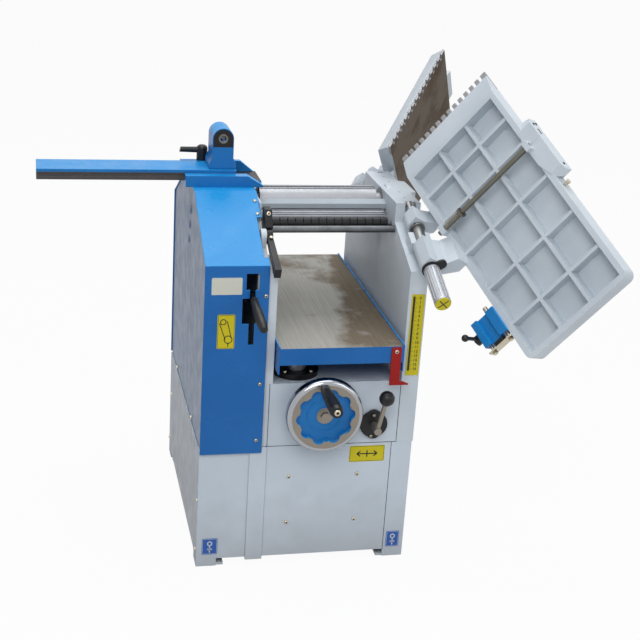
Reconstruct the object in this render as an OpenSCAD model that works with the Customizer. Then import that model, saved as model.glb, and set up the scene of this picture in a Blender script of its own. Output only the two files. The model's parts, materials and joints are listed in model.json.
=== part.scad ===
// Combination planer thicknesser with both planing tables swung open.
// Millimetres. X runs to the right, Y runs to the rear, Z is up.
// The origin lies on the floor at the middle of the four anchor holes.

/* [Base cabinet] */
// Width of the base on the floor
base_w = 464; // [440:1:500]
// Depth of the base, front to rear
base_d = 572; // [540:1:620]
// Height of the seam between base and upper frame
base_h = 284; // [260:1:320]
// Thickness of the sheet metal
sheet_t = 3; // [2:0.5:4]
// Width of the posts at the base front
post_w = 46; // [36:1:56]
// Width of each foot
foot_w = 44; // [34:1:54]
// Height of the arch between the feet
arch_h = 18; // [10:1:30]
// Distance of the anchor holes across the machine
anchor_dx = 400; // [380:1:412]
// Distance of the anchor holes front to rear
anchor_dy = 490; // [470:1:500]
// Diameter of the anchor holes
anchor_d = 12; // [8:1:16]

/* [Upper frame] */
// Clear width between the side plates
tunnel_w = 292; // [286:1:310]
// Width of the side plate rim
plate_t = 38; // [32:1:44]
// Thickness of the side plate web
web_t = 12; // [8:1:16]
// Thickness of the side plate rim
rim_t = 14; // [10:1:20]
// Half length of the flat top of the side plates
flat_half = 137; // [134:1:141]
// Height of the shoulder at the front of the side plates
shoulder_z = 672; // [666:1:674]
// Top of the front wall and the deck
deck_z = 428; // [415:1:436]
// Thickness of the front and rear walls
wall_t = 10; // [6:1:14]
// Thickness of the deck
deck_t = 8; // [6:1:12]

/* [Planing tables] */
// Height of the closed planing tables
table_z = 780; // [779:0.5:784]
// Width of the planing tables
table_w = 263; // [256:1:266]
// Length of one planing table casting
table_l = 555; // [530:1:580]
// Depth of the table rim
table_t = 38; // [36:1:40]
// Thickness of the table skin
skin_t = 8; // [6:1:10]
// Width of the table rim
table_rim = 12; // [10:1:16]
// Thickness of the ribs under the tables
rib_t = 7; // [5:1:9]
// Length of the sloped lip zone
lip_l = 57; // [52:1:62]
// Thickness of the comb plate on the lip
comb_t = 6; // [5:0.5:7]
// Number of comb teeth
comb_n = 15; // [11:1:19]
// Angle by which the tables are swung open
open_a = 121; // [115:1:123]
// Tilt of the hinge shafts to the floor
hinge_a = 23; // [21:0.5:24]
// Diameter of the hinge shafts
shaft_d = 24; // [20:1:26]
// Outer diameter of the table knuckles
knuckle_d = 44; // [38:1:46]

/* [Cutterhead and feed] */
// Diameter of the cutting circle
cut_d = 72; // [70:0.5:73]
// Diameter of the cutterhead body
head_d = 69; // [66:0.5:69.5]
// Diameter of the cutterhead journals
journal_d = 30; // [24:1:34]
// Outer diameter of the cutterhead bearings
bearing_d = 62; // [54:1:66]
// Number of planing knives
knife_n = 4; // [2:1:4]
// Diameter of the feed rollers
roller_d = 36; // [32:1:38]
// Distance of the feed rollers from the cutterhead
roller_y = 68; // [64:1:70]
// Diameter of the roller journals
roller_journal_d = 16; // [12:1:20]
// Number of kickback fingers
finger_n = 16; // [12:1:18]
// Width of one kickback finger
finger_w = 13; // [10:0.5:13.5]

/* [Thicknessing table] */
// Width of the thicknessing table
bed_w = 260; // [250:1:268]
// Length of the thicknessing table
bed_l = 624; // [600:1:640]
// Depth of the front edge of the thicknessing table
bed_t = 37; // [32:1:42]
// Height under the cutterhead in the shown setting
rest_gap = 187; // [184:1:195]
// Diameter of the two guide columns
column_d = 44; // [36:1:48]
// Diameter of the lift screw
screw_d = 28; // [22:1:32]

/* [Controls] */
// Diameter of the handwheel
wheel_d = 164; // [140:1:170]
// Diameter of the handwheel shaft
wheel_shaft_d = 20; // [16:1:22]
// Diameter of the handwheel grip
grip_d = 28; // [20:1:32]
// Length of the handwheel grip
grip_l = 116; // [60:1:130]
// Diameter of the feed lever ball
ball_d = 33; // [24:1:36]
// Diameter of the height knob
knob_d = 34; // [26:1:38]
// Length of the height knob
knob_l = 100; // [80:1:110]

/* [Drive cover and fence] */
// Height of the drive cover front below the slope
cover_z = 690; // [684:1:694]
// Height of the drive cover top
cover_top = 789; // [787:1:793]
// Half length of the flat top of the drive cover
cover_flat = 94; // [88:1:100]
// Length of the fence rail
rail_l = 420; // [380:1:440]
// Width of the fence rail
rail_w = 85; // [76:1:92]
// Thickness of the fence rail
rail_t = 23; // [18:1:26]

/* [Hidden] */
$fn = 64;
over = 1;
run_fit = 0.05;
side_gap = 0.4;
seat_gap = 0.3;

// Places of the frame, measured from the middle of the tunnel
half_d = base_d / 2;
in_x = tunnel_w / 2;
out_x = in_x + plate_t;
base_step = 2;
base_right = out_x - base_step;
base_left = base_right - base_w;
base_mid = (base_left + base_right) / 2;
web_x = in_x + web_t;
flat_drop = 3;
flat_z = table_z - flat_drop;
shoulder_foot = 286;
shoulder_top = shoulder_z + (shoulder_foot - flat_half) * tan(hinge_a);
shoulder_front = shoulder_z + (shoulder_foot - half_d) * tan(hinge_a);
head_z = table_z - cut_d / 2;
bed_z = table_z - cut_d - rest_gap;

// Hinge line of the infeed table when the tables are shut
hinge_out = 33;
hinge_clear = 3.2;
hinge_x = in_x + hinge_out;
hinge_y = -150;
hinge_z = shoulder_z + (shoulder_foot + hinge_y) * tan(hinge_a) + (knuckle_d / 2 + hinge_clear) / cos(hinge_a);

// Planing table places with the tables shut
table_shift = 3.5;
table_right = table_w / 2 + table_shift;
table_left = table_right - table_w;
lip_y = -31;
lip_t = 12;
tooth_y = -24;
comb_l = 51;
table_end = lip_y - table_l;
rib_drop = 4;
rib_shares = [0.119, 0.261, 0.452, 0.650, 0.841];
bay_shares = [1 / 3, 2 / 3];
end_r = 16;

// Stations along the hinge shaft, measured from the hinge point
shaft_up = 28;
shaft_down = 165;
upper_s = [-48, -10];
lug_s = [-100, -64];
lower_s = [-178, -106];
flange_t = 5;
neck_d = 20;

// Lock rod under each table
rod_d = 11;
rod_y = -245;
rod_drop = 7;
rod_z = table_z - table_t - rod_drop;
rod_lug = 22;
rod_lug_h = 16;
rod_collar_d = 22;
rod_collar_t = 5;
rod_rest = 2;
coil_d = 17;
wire_d = 2.2;
coil_l = 46;
coil_n = 11;

// Latch plate on the outer edge of each table
latch_t = 25;
latch_pad = 2;
latch_under = 13;
latch_l = 145;
latch_y = -185;
latch_h = 33;
latch_top = 5;

// Guard bracket on the hinge side of the infeed table
guard_w = 62;
guard_l = 60;
guard_h = 28;
guard_y = -505;
guard_drop = 16;
guard_slot_w = 26;
guard_slot_h = 9;
guard_boss_d = 22;
guard_boss_t = 14;
guard_arm_d = 8;
guard_arm_l = 52;
guard_ball_d = 15;

// Rods and beams across the tunnel
tie_d = 15;
tie_y = -140;
tie_drop = 24;
tie_z = head_z - tie_drop;
finger_rod_d = 12;
finger_y = -112;
finger_down = 20;
finger_z = head_z - finger_down;
finger_hub_d = 22;
finger_reach = 13;
finger_drop = 15;
finger_tip = 4;
roller_set = 0.8;
roller_z = table_z - cut_d + roller_d / 2 - roller_set;
roller_len_gap = 8;
groove_n = 20;
groove_w = 2.2;
beam_y = -58;
beam_w = 16;
beam_h = 11;
beam_gap = 2.5;
rear_beam_y = 122;
rear_beam_h = 18;
rear_beam_notch = 40;
sprocket_d = 72;
sprocket_t = 5;
sprocket_x = 24;
chain_t = 6;

// Cutterhead
head_gap = 15;
knife_t = 3;
knife_l_gap = 2;
knife_h = 17;
wedge_t = 8;
pulley_d = 80;
pulley_w = 36;
pulley_x = -232;
belt_t = 7;
motor_y = 150;
motor_z = 130;
motor_d = 140;
motor_x0 = -150;
motor_x1 = 40;
motor_shaft_d = 24;
motor_pulley_d = 104;

// Thicknessing table and lift
bed_y0 = -322;
bed_skin = 12;
bed_wall = 12;
bed_rib_t = 8;
bed_side = 57;
bed_side_t = 3;
bed_side_up = 3;
column_x = 73;
column_share = 112 / 143;
column_y = half_d * column_share;
column_low = 190;
column_boss = 62;
flange_d = 98;
flange_h = 12;
screw_low = 165;
gear_x0 = -62;
gear_x1 = 46;
gear_y = 58;
gear_h = 88;
nut_d = 46;
nut_collar_d = 58;
nut_collar_t = 10;
nut_in = 30;
pointer_w = 21;
pointer_hole_d = 6;
pointer_hole_in = 10.5;
pointer_up = 2;
pointer_t = 4;
pointer_drop = 86;
pointer_x = 108;
pointer_tip = 41;
pointer_tip_h = 10;

// Handwheel, levers
wheel_x = -28;
wheel_z = 374.5;
wheel_out = 44;
wheel_y = -half_d - wheel_out;
rim_w = 28;
rim_r = 10;
ring_in = 26;
hub_d = 36;
hub_back = 16;
hub_front = 6;
dish_t = 8;
dish_lobe_d = 26;
dish_lobe_in = 32;
dish_n = 10;
ridge_r = 36;
ridge_w = 4;
ridge_h = 1.5;
crank_r = 64;
stub_d = 10;
lever_x = 91;
lever_z = 330;
lever_flange_h = 66;
lever_flange_w = 60;
lever_flange_t = 9;
lever_shaft_d = 16;
lever_rod_d = 10;
lever_reach = 46;
lever_rise = 80;
lever_lean = 9;
belt_pivot_in = 81;
belt_pivot_y = -half_d + belt_pivot_in;
belt_pivot_z = 598;
belt_flat_w = 16;
belt_flat_t = 6;
belt_flat_l = 118;
belt_grip_d = 20;
belt_grip_l = 66;
belt_tilt = 13;
gate_x = -204;
gate_w = 33;
gate_low = 520;
gate_mid = 566;
gate_neck = 620;
gate_top = 673;
gate_upper = 639;
gate_slit = 11;
gate_shares = [0.6, 0.2];
belt_lever_x = gate_x + gate_w * gate_shares[0];

// Drive cover and fence
cover_out = 8;
cover_low = 273;
cover_gap = 1;
cover_in = 4;
cover_x = -in_x - cover_in;
fence_y = 8;
bracket_x0 = -297;
bracket_x1 = -130.5;
bracket_wall = 14;
bracket_front = 24;
bracket_base = 8;
bracket_nose = 34;
rail_right = -186;
eye_d = 46;
eye_bore_d = 13;
eye_z = 886;
eye_foot = 58;
eye_t = 70;
fence_lever_x = -249;
fence_lever_l = 50;
fence_hub_d = 24;
fence_hub_h = 20;
fence_stud_d = 10;
louvre_n = 3;
louvre_y = -14.5;
louvre_z = 722;
louvre_step = 8.5;
louvre_pitch = 35;
drop_w = 10;
drop_h = 19;

// Shoulder clamps on the left side plate
clamp_y = -215;
clamp_l = 66;
clamp_w = 15.5;
clamp_top = 4;
clamp_lever_t = 14;
clamp_lever_w = 13;
clamp_lever_l = 118;
clamp_pin_d = 10;
clamp_hub_d = 26;
scale_w = 28;
scale_t = 1.2;
scale_z0 = 440;
scale_z1 = 622;

// Box between two corners
module box(x, y, z) {
    translate([x[0], y[0], z[0]])
        cube([x[1] - x[0], y[1] - y[0], z[1] - z[0]]);
}

// Cylinder along X between two ends
module bar_x(x, y, z, d) {
    translate([x[0], y, z])
        rotate([0, 90, 0])
            cylinder(h = x[1] - x[0], d = d);
}

// Cylinder along Y between two ends
module bar_y(x, y, z, d) {
    translate([x, y[1], z])
        rotate([90, 0, 0])
            cylinder(h = y[1] - y[0], d = d);
}

// Cylinder along Z between two ends
module bar_z(x, y, z, d) {
    translate([x, y, z[0]])
        cylinder(h = z[1] - z[0], d = d);
}

// Outline drawn in Y and Z, pushed along X
module side_form(x) {
    translate([x[0], 0, 0])
        rotate([90, 0, 90])
            linear_extrude(x[1] - x[0])
                children();
}

// Outline drawn in X and Z, pushed along Y
module front_form(y) {
    translate([0, y[1], 0])
        rotate([90, 0, 0])
            linear_extrude(y[1] - y[0])
                children();
}

// Frame whose Z axis is the infeed hinge line and whose minus Y side is up
module on_hinge() {
    translate([hinge_x, hinge_y, hinge_z])
        rotate([hinge_a - 90, 0, 0])
            children();
}

// Swings a shut infeed table to its open place
module swung_open() {
    translate([hinge_x, hinge_y, hinge_z])
        rotate(a = open_a, v = [0, cos(hinge_a), sin(hinge_a)])
            translate([-hinge_x, -hinge_y, -hinge_z])
                children();
}

// Rear copy of a front piece
module rear_copy() {
    mirror([0, 1, 0])
        children();
}

// Moves a piece from tunnel places to the middle of the base
module placed() {
    translate([-base_mid, 0, 0])
        children();
}

// Base cabinet

module base_front_panel() {
    color("gainsboro")
    difference() {
        box([-in_x + post_w - plate_t, base_right - post_w], [-half_d, -half_d + sheet_t],
            [arch_h, base_h]);
        for (x = panel_screw_x, z = panel_screw_z)
            bar_y(x, [-half_d - over, -half_d + sheet_t + over], z, panel_hole_d);
    }
}
panel_screw_x = [-87, 64];
panel_screw_z = [99, 210];
panel_hole_d = 6;

module base_left_post() {
    left = -in_x - plate_t + post_gap;
    right = -in_x + post_w - plate_t;
    depth = 30;
    color("gainsboro") {
        box([left, right], [-half_d - sheet_t, -half_d], [arch_h * post_share, base_h]);
        box([left, left + sheet_t], [-half_d, -half_d + depth], [arch_h * post_share, base_h]);
    }
}
post_gap = 9;
post_share = 2 / 3;

// Wall of the base that stands on two feet with an arch between them
module arched_wall(x) {
    side_form(x)
        difference() {
            translate([-half_d, 0])
                square([base_d, base_h]);
            translate([-half_d + foot_w, -over])
                square([base_d - foot_w - foot_w, arch_h + over]);
        }
}

// Floor plate of one foot with its anchor hole
module foot_plate(ends, x, side) {
    y = anchor_dy / 2;
    scale([1, side, 1])
        difference() {
            box(ends, [y - foot_plate_l / 2, max(half_d - sheet_t, y + foot_plate_l / 2)], [0, foot_plate_t]);
            bar_z(x, y, [-over, foot_plate_t + over], anchor_d);
        }
}
foot_plate_l = 56;
foot_plate_t = 6;

module base_left_panel() {
    left = base_left;
    right = -in_x - plate_t + post_gap;
    color("silver") {
        difference() {
            arched_wall([left, left + sheet_t]);
            box([left - over, left + sheet_t + over], [-half_d - over, half_d + over],
                [cover_low - cover_gap, base_h + over]);
        }
        for (side = [-1, 1])
            scale([1, side, 1])
                front_form([-half_d, -half_d + sheet_t])
                    difference() {
                        translate([left, 0])
                            square([right - left, cover_low - cover_gap]);
                        translate([left + foot_w, -over])
                            square([right - left, arch_h + over]);
                    }
        for (side = [-1, 1])
            foot_plate([base_left + sheet_t, base_mid - anchor_dx / 2 + foot_plate_l / 2],
                base_mid - anchor_dx / 2, side);
    }
}

module base_right_panel() {
    color("gainsboro") {
        arched_wall([base_right - sheet_t, base_right]);
        for (side = [-1, 1])
            scale([1, side, 1])
                box([base_right - post_w, base_right - sheet_t], [-half_d, -half_d + sheet_t],
                    [0, base_h]);
        for (side = [-1, 1])
            foot_plate([base_mid + anchor_dx / 2 - foot_plate_l / 2, base_right - sheet_t],
                base_mid + anchor_dx / 2, side);
    }
}

module rear_panel() {
    color("gainsboro") {
        box([-in_x - plate_t + post_gap, base_right - post_w], [half_d - sheet_t, half_d],
            [arch_h, base_h]);
        box([-in_x, in_x], [half_d - wall_t, half_d], [base_h, deck_z]);
    }
}

// Upper frame

module front_wall() {
    color("gainsboro")
    difference() {
        box([-in_x, in_x], [-half_d, -half_d + wall_t], [base_h, deck_z]);
        bar_y(wheel_x, [-half_d - over, -half_d + wall_t + over], wheel_z,
            wheel_shaft_d + 2 * run_fit);
        bar_y(lever_x, [-half_d - over, -half_d + wall_t + over], lever_z,
            lever_shaft_d + 2 * run_fit);
    }
}

module deck() {
    color("lightgray")
    difference() {
        box([-in_x, in_x], [-half_d + wall_t, half_d - wall_t], [deck_z - deck_t, deck_z]);
        for (side = [-1, 1])
            bar_z(side * column_x, side * column_y, [deck_z - deck_t - over, deck_z + over],
                column_d + 2 * deck_clear);
        bar_z(0, 0, [deck_z - deck_t - over, deck_z + over], screw_d + 2 * deck_clear);
    }
}
deck_clear = 3;

module column_flanges() {
    color("#1a1a1c")
    for (side = [-1, 1])
        difference() {
            bar_z(side * column_x, side * column_y, [deck_z, deck_z + flange_h], flange_d);
            bar_z(side * column_x, side * column_y, [deck_z - over, deck_z + flange_h + over],
                column_d + 2 * run_fit);
        }
}

// Side outline of a side plate, with shoulders at both ends
module plate_outline() {
    polygon([[-half_d, base_h], [-half_d, shoulder_front], [-flat_half, shoulder_top],
        [-flat_half, flat_z], [flat_half, flat_z], [flat_half, shoulder_top],
        [half_d, shoulder_front], [half_d, base_h]]);
}

// Pocket outline that leaves the rim standing
module plate_pocket() {
    low = shoulder_front - rim_t / cos(hinge_a);
    high = shoulder_top - rim_t / cos(hinge_a);
    polygon([[-half_d + rim_t, base_h + rim_t], [-half_d + rim_t, low], [-flat_half, high],
        [flat_half, high], [half_d - rim_t, low], [half_d - rim_t, base_h + rim_t]]);
}

// Holes that both side plates share
module plate_holes(x) {
    bar_x(x, 0, head_z, bearing_d);
    for (side = [-1, 1])
        bar_x(x, side * roller_y, roller_z, roller_journal_d + 2 * run_fit);
}

// Seats of one hinge shaft on the right side plate
module hinge_seats() {
    on_hinge()
        translate([-seat_in, -seat_up, lug_s[0]])
            cube([seat_in + seat_out, seat_up + seat_deep, lug_s[1] - lug_s[0]]);
    box([web_x, hinge_x + seat_out], [-flat_half, -flat_half + seat_block], [shoulder_top, flat_z]);
}

// Ledge of the flat top with its bulge, and its tapped holes
module top_ledge() {
    x0 = web_x - over;
    x1 = hinge_x + seat_out;
    translate([0, 0, flat_z - ledge_t])
        linear_extrude(ledge_t)
            polygon([[x0, -flat_half], [x1, -flat_half], [x1, -bulge_half - ledge_bulge / 2], [x1 + ledge_bulge, -bulge_half],
                [x1 + ledge_bulge, bulge_half], [x1, bulge_half + ledge_bulge / 2], [x1, flat_half], [x0, flat_half]]);
}
ledge_t = 12;
ledge_bulge = 14;
bulge_half = 46;

module ledge_holes() {
    for (side = [-1, 1], y = [bulge_half, flat_half - bulge_half])
        bar_z(hinge_x - ledge_hole_in, side * y, [flat_z - ledge_t + over, flat_z + over], ledge_hole_d);
}
ledge_hole_in = 2;
ledge_hole_d = 6;

seat_in = 24;
seat_out = 22;
seat_up = 2;
seat_deep = 30;
seat_block = 56;

// Groove of one hinge shaft
module hinge_groove() {
    on_hinge() {
        translate([0, 0, lug_s[0] - over])
            cylinder(h = shaft_up + groove_end - lug_s[0] + over, d = shaft_d + 2 * run_fit);
        translate([-shaft_d / 2 - run_fit, -seat_block, -shaft_up])
            cube([shaft_d + 2 * run_fit, seat_block, shaft_up + shaft_up + groove_end]);
    }
}
groove_end = 3;

module side_plate_right() {
    color("lightsteelblue")
    difference() {
        union() {
            difference() {
                side_form([in_x, out_x])
                    plate_outline();
                side_form([web_x, out_x + over])
                    plate_pocket();
            }
            intersection() {
                union() {
                    hinge_seats();
                    rear_copy()
                        hinge_seats();
                }
                side_form([in_x, hinge_x + seat_out])
                    seat_limit();
            }
            top_ledge();
            for (p = plate_boss_places())
                bar_x([web_x - over, web_x + boss_out], p[0], p[1], p[2]);
        }
        ledge_holes();
        plate_holes([in_x - over, web_x + boss_out + over]);
        hinge_groove();
        rear_copy()
            hinge_groove();
    }
}

// Space that the hinge seats may fill
module seat_limit() {
    polygon([[-half_d, shoulder_front - rim_t / 2], [-half_d, flat_z], [half_d, flat_z],
        [half_d, shoulder_front - rim_t / 2], [flat_half, shoulder_top - rim_t / 2],
        [-flat_half, shoulder_top - rim_t / 2]]);
}
boss_out = 10;

function plate_boss_places() = [[0, head_z, bearing_d + boss_wall],
    [-roller_y, roller_z, roller_journal_d + boss_wall], [roller_y, roller_z, roller_journal_d + boss_wall]];
boss_wall = 12;

module side_plate_left() {
    color("lightsteelblue")
    difference() {
        union() {
            side_form([cover_x, -in_x])
                plate_outline();
            side_form([-web_x, cover_x + over])
                intersection() {
                    plate_outline();
                    cover_outline(2 * sheet_t);
                }
            side_form([-out_x + plate_trim, -web_x + over])
                difference() {
                    intersection() {
                        plate_outline();
                        cover_outline(2 * sheet_t);
                    }
                    plate_pocket();
                }
            for (p = plate_boss_places())
                bar_x([-web_x - boss_out, -web_x + over], p[0], p[1], p[2]);
            for (side = [-1, 1])
                scale([1, side, 1]) {
                    front_strip();
                    clamp_ear();
                }
        }
        plate_holes([-out_x - over, -in_x + over]);
        for (side = [-1, 1])
            bar_x([-out_x - over, -in_x + over], side * clamp_pivot_y, clamp_pivot_z, clamp_pin_d + 2 * run_fit);
    }
}
plate_trim = 12;

// Inward lip at the front edge of the left side plate
module front_strip() {
    side_form([-in_x - over, -in_x + strip_w])
        intersection() {
            plate_outline();
            translate([-half_d, deck_z])
                square([wall_t, flat_z - deck_z]);
        }
}
strip_w = 14;

// Ear on the shoulder that carries the pin of the clamp lever
module clamp_ear() {
    side_form([-web_x + ear_in, -in_x]) {
        translate([clamp_pivot_y, clamp_pivot_z])
            circle(d = ear_d);
        translate([clamp_pivot_y - ear_d / 2, clamp_floor(clamp_pivot_y) - ear_d / 2])
            square([ear_d, ear_d / 2 + clamp_pivot_z - clamp_floor(clamp_pivot_y)]);
    }
}
ear_in = 0.5;
ear_d = 30;

// Height just under the sloped lip of a shut table
function beam_top(y) = table_z - lip_t - (lip_y - y) * (table_t - lip_t) / lip_l - beam_gap;

module cross_beams() {
    color("lightsteelblue") {
        side_form([-in_x, in_x])
            polygon([[beam_y, beam_top(beam_y) - beam_h], [beam_y, beam_top(beam_y)],
                [beam_y + beam_w, beam_top(beam_y + beam_w)],
                [beam_y + beam_w, beam_top(beam_y) - beam_h]]);
        difference() {
            box([-in_x, in_x], [rear_beam_y, rear_beam_y + beam_w],
                [flat_z - table_t - rear_beam_h, flat_z - table_t]);
            box([-rear_beam_notch / 2, rear_beam_notch / 2],
                [rear_beam_y - over, rear_beam_y + beam_w + over],
                [flat_z - table_t - rear_beam_h / 2, flat_z - table_t + over]);
        }
    }
}

module cross_rods() {
    color("dimgray") {
        bar_x([-in_x, in_x], tie_y, tie_z, tie_d);
        bar_x([-in_x, in_x], finger_y, finger_z, finger_rod_d);
    }
}

// Cutterhead and feed

module cutter_bearings() {
    color("silver")
    for (side = [-1, 1])
        scale([side, 1, 1])
            difference() {
                bar_x([in_x, web_x + boss_out], 0, head_z, bearing_d);
                bar_x([in_x - over, web_x + boss_out + over], 0, head_z, journal_d + 2 * run_fit);
            }
}

module cutterhead() {
    body_x = in_x - head_gap;
    color("silver")
    difference() {
        union() {
            bar_x([-body_x, body_x], 0, head_z, head_d);
            bar_x([pulley_x, web_x + boss_out], 0, head_z, journal_d);
            bar_x([-in_x + side_gap, -body_x + over], 0, head_z, journal_d + journal_step);
            bar_x([body_x - over, in_x - side_gap], 0, head_z, journal_d + journal_step);
        }
        for (i = [0:knife_n - 1])
            translate([0, 0, head_z])
                rotate([knife_turn + i * 360 / knife_n, 0, 0])
                    translate([-body_x - over, -knife_t, head_d / 2 - knife_h])
                        cube([2 * (body_x + over), knife_t + wedge_t, knife_h + over]);
    }
}
journal_step = 8;
knife_turn = 20;

module cutter_knives() {
    body_x = in_x - head_gap - knife_l_gap;
    color("lightgray")
    for (i = [0:knife_n - 1])
        translate([0, 0, head_z])
            rotate([knife_turn + i * 360 / knife_n, 0, 0]) {
                translate([-body_x, -knife_t, head_d / 2 - knife_h])
                    side_blade(2 * body_x);
                translate([-body_x, 0, head_d / 2 - knife_h])
                    cube([2 * body_x, wedge_t, knife_h - wedge_low]);
            }
}
wedge_low = 3;

// Knife with a ground edge
module side_blade(l) {
    top = sqrt(cut_d * cut_d / 4 - knife_t * knife_t) - head_d / 2 + knife_h;
    rotate([90, 0, 90])
        linear_extrude(l)
            polygon([[0, 0], [0, top], [knife_t, top - knife_t], [knife_t, 0]]);
}

module cutter_pulley() {
    color("dimgray")
    translate([pulley_x, 0, head_z])
        rotate([0, 90, 0])
            pulley_form(pulley_d, journal_d);
}

// Belt pulley with two flanges
module pulley_form(d, bore) {
    difference() {
        rotate_extrude()
            polygon([[bore / 2, 0], [d / 2, 0], [d / 2, pulley_lip], [d / 2 - belt_t, pulley_lip + belt_t / 2],
                [d / 2 - belt_t, pulley_w - pulley_lip - belt_t / 2], [d / 2, pulley_w - pulley_lip],
                [d / 2, pulley_w], [bore / 2, pulley_w]]);
        for (i = [0:pulley_hole_n - 1])
            rotate([0, 0, i * 360 / pulley_hole_n])
                translate([(d / 2 - belt_t + bore / 2) / 2, 0, -over])
                    cylinder(h = pulley_w + 2 * over, d = pulley_hole_d);
    }
}
pulley_lip = 3;
pulley_hole_n = 5;
pulley_hole_d = 9;

// Feed roller body with its journals and chain wheel
module roller_form(y) {
    roller_x = in_x - roller_len_gap;
    wheel_left = -web_x - sprocket_x;
    bar_x([-roller_x, roller_x], y, roller_z, roller_d);
    bar_x([wheel_left - sprocket_t, web_x + boss_out], y, roller_z, roller_journal_d);
    translate([wheel_left - sprocket_t, y, roller_z])
        rotate([0, 90, 0])
            linear_extrude(sprocket_t)
                difference() {
                    circle(d = sprocket_d);
                    for (i = [0:sprocket_n - 1])
                        rotate(i * 360 / sprocket_n)
                            translate([sprocket_d / 2, 0])
                                circle(d = sprocket_cut);
                }
}
sprocket_n = 18;
sprocket_cut = 6;

module infeed_roller() {
    roller_x = in_x - roller_len_gap;
    color("dimgray")
    difference() {
        roller_form(-roller_y);
        for (i = [0:groove_n - 1])
            translate([0, -roller_y, roller_z])
                rotate([i * 360 / groove_n, 0, 0])
                    translate([-roller_x - over, -groove_w / 2, roller_d / 2 - groove_w])
                        cube([2 * (roller_x + over), groove_w, groove_w + over]);
    }
}

module outfeed_roller() {
    color("gray")
        roller_form(roller_y);
}

module feed_chain() {
    left = -web_x - sprocket_x - sprocket_t;
    inner = sprocket_d / 2 + side_gap;
    color("dimgray")
        side_form([left, left + sprocket_t])
            difference() {
                chain_loop(inner + chain_t);
                chain_loop(inner);
            }
}

// Loop round both chain wheels
module chain_loop(r) {
    for (side = [-1, 1])
        translate([side * roller_y, roller_z])
            circle(r = r);
    translate([-roller_y, roller_z - r])
        square([2 * roller_y, 2 * r]);
}

module kickback_fingers() {
    pitch = 2 * (in_x - finger_side) / finger_n;
    color("#2a2a2c")
    for (i = [0:finger_n - 1])
        translate([-in_x + finger_side + (i + 1 / 2) * pitch, finger_y, finger_z])
            side_form([-finger_w / 2, finger_w / 2])
                difference() {
                    union() {
                        circle(d = finger_hub_d);
                        polygon([[0, finger_hub_d / 2], [finger_reach, -finger_drop + finger_tip],
                            [finger_reach, -finger_drop], [finger_reach - finger_tip, -finger_drop],
                            [-finger_hub_d / 2, 0]]);
                    }
                    circle(d = finger_rod_d + 2 * run_fit);
                }
}
finger_side = 10;

module motor() {
    color("slategray")
    difference() {
        union() {
            bar_x([motor_x0, motor_x1], motor_y, motor_z, motor_d);
            bar_x([motor_x1, motor_x1 + motor_cap], motor_y, motor_z, motor_d * motor_cap_share);
            box([motor_x0 + motor_cap, motor_x1 - motor_cap], [motor_y - motor_d / 2, half_d - sheet_t],
                [motor_z - motor_d / 2 - motor_foot, motor_z - motor_d / 2 + motor_foot]);
            for (i = [0:motor_fin_n - 1])
                translate([motor_x0 + motor_fin_gap, motor_y, motor_z])
                    rotate([(i + 0.5) * 360 / motor_fin_n, 0, 0])
                        translate([0, -motor_fin_t / 2, motor_d / 2 - motor_fin_t])
                            cube([motor_x1 - motor_x0 - 2 * motor_fin_gap, motor_fin_t, 2 * motor_fin_t]);
        }
        bar_x([motor_x0 - over, motor_x0 + motor_cap], motor_y, motor_z, motor_shaft_d + 2 * run_fit);
    }
}
motor_cap = 28;
motor_cap_share = 0.8;
motor_foot = 10;
motor_fin_n = 24;
motor_fin_t = 3;
motor_fin_gap = 12;

module motor_pulley() {
    color("dimgray")
    translate([pulley_x, motor_y, motor_z])
        rotate([0, 90, 0]) {
            pulley_form(motor_pulley_d, motor_shaft_d - over);
            cylinder(h = motor_x0 - pulley_x + motor_cap - over, d = motor_shaft_d);
        }
}

module drive_belt() {
    color("#1a1a1c")
        side_form([pulley_x + pulley_lip + belt_t / 2 + side_gap,
                pulley_x + pulley_w - pulley_lip - belt_t / 2 - side_gap])
            difference() {
                belt_loop(belt_t);
                belt_loop(0);
            }
}

// Loop round the two belt pulleys, grown outwards
module belt_loop(grow) {
    hull() {
        translate([0, head_z])
            circle(r = pulley_d / 2 - belt_t + side_gap + grow);
        translate([motor_y, motor_z])
            circle(r = motor_pulley_d / 2 - belt_t + side_gap + grow);
    }
}

// Thicknessing table and lift

module thickness_table() {
    left = table_shift - bed_w / 2;
    right = table_shift + bed_w / 2;
    y1 = bed_y0 + bed_l;
    low = bed_z - bed_t;
    color("#8f8b80") {
        difference() {
            box([left, right], [bed_y0, y1], [low, bed_z]);
            difference() {
                box([left + bed_wall, right - bed_wall], [bed_y0 + bed_wall, y1 - bed_wall],
                    [low - over, bed_z - bed_skin]);
                for (share = bed_rib_shares)
                    translate([left, bed_y0 + bed_l * share - bed_rib_t / 2, low + bed_rib_t])
                        cube([bed_w, bed_rib_t, bed_t]);
                translate([-bed_rib_t / 2, bed_y0, low + bed_rib_t])
                    cube([bed_rib_t, bed_l, bed_t]);
                for (side = [-1, 1])
                    bar_z(side * column_x, side * column_y, [low - 2 * over, bed_z], column_boss);
                bar_z(0, 0, [low - 2 * over, bed_z], screw_d + column_boss - column_d);
            }
            for (side = [-1, 1])
                bar_z(side * column_x, side * column_y, [low - 2 * over, bed_z - bed_skin], column_d);
            bar_z(0, 0, [low - 2 * over, bed_z - bed_skin], screw_d);
        }
        for (x = [left - bed_side_t, right])
            box([x, x + bed_side_t], [bed_y0, y1], [bed_z - bed_side, bed_z + bed_side_up]);
    }
}
bed_rib_shares = [0.2, 0.35, 0.65, 0.8];

module lift_columns() {
    color("silver") {
        for (side = [-1, 1])
            bar_z(side * column_x, side * column_y, [column_low, bed_z - bed_skin], column_d);
        bar_z(0, 0, [screw_low, bed_z - bed_skin], screw_d);
    }
}

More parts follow.
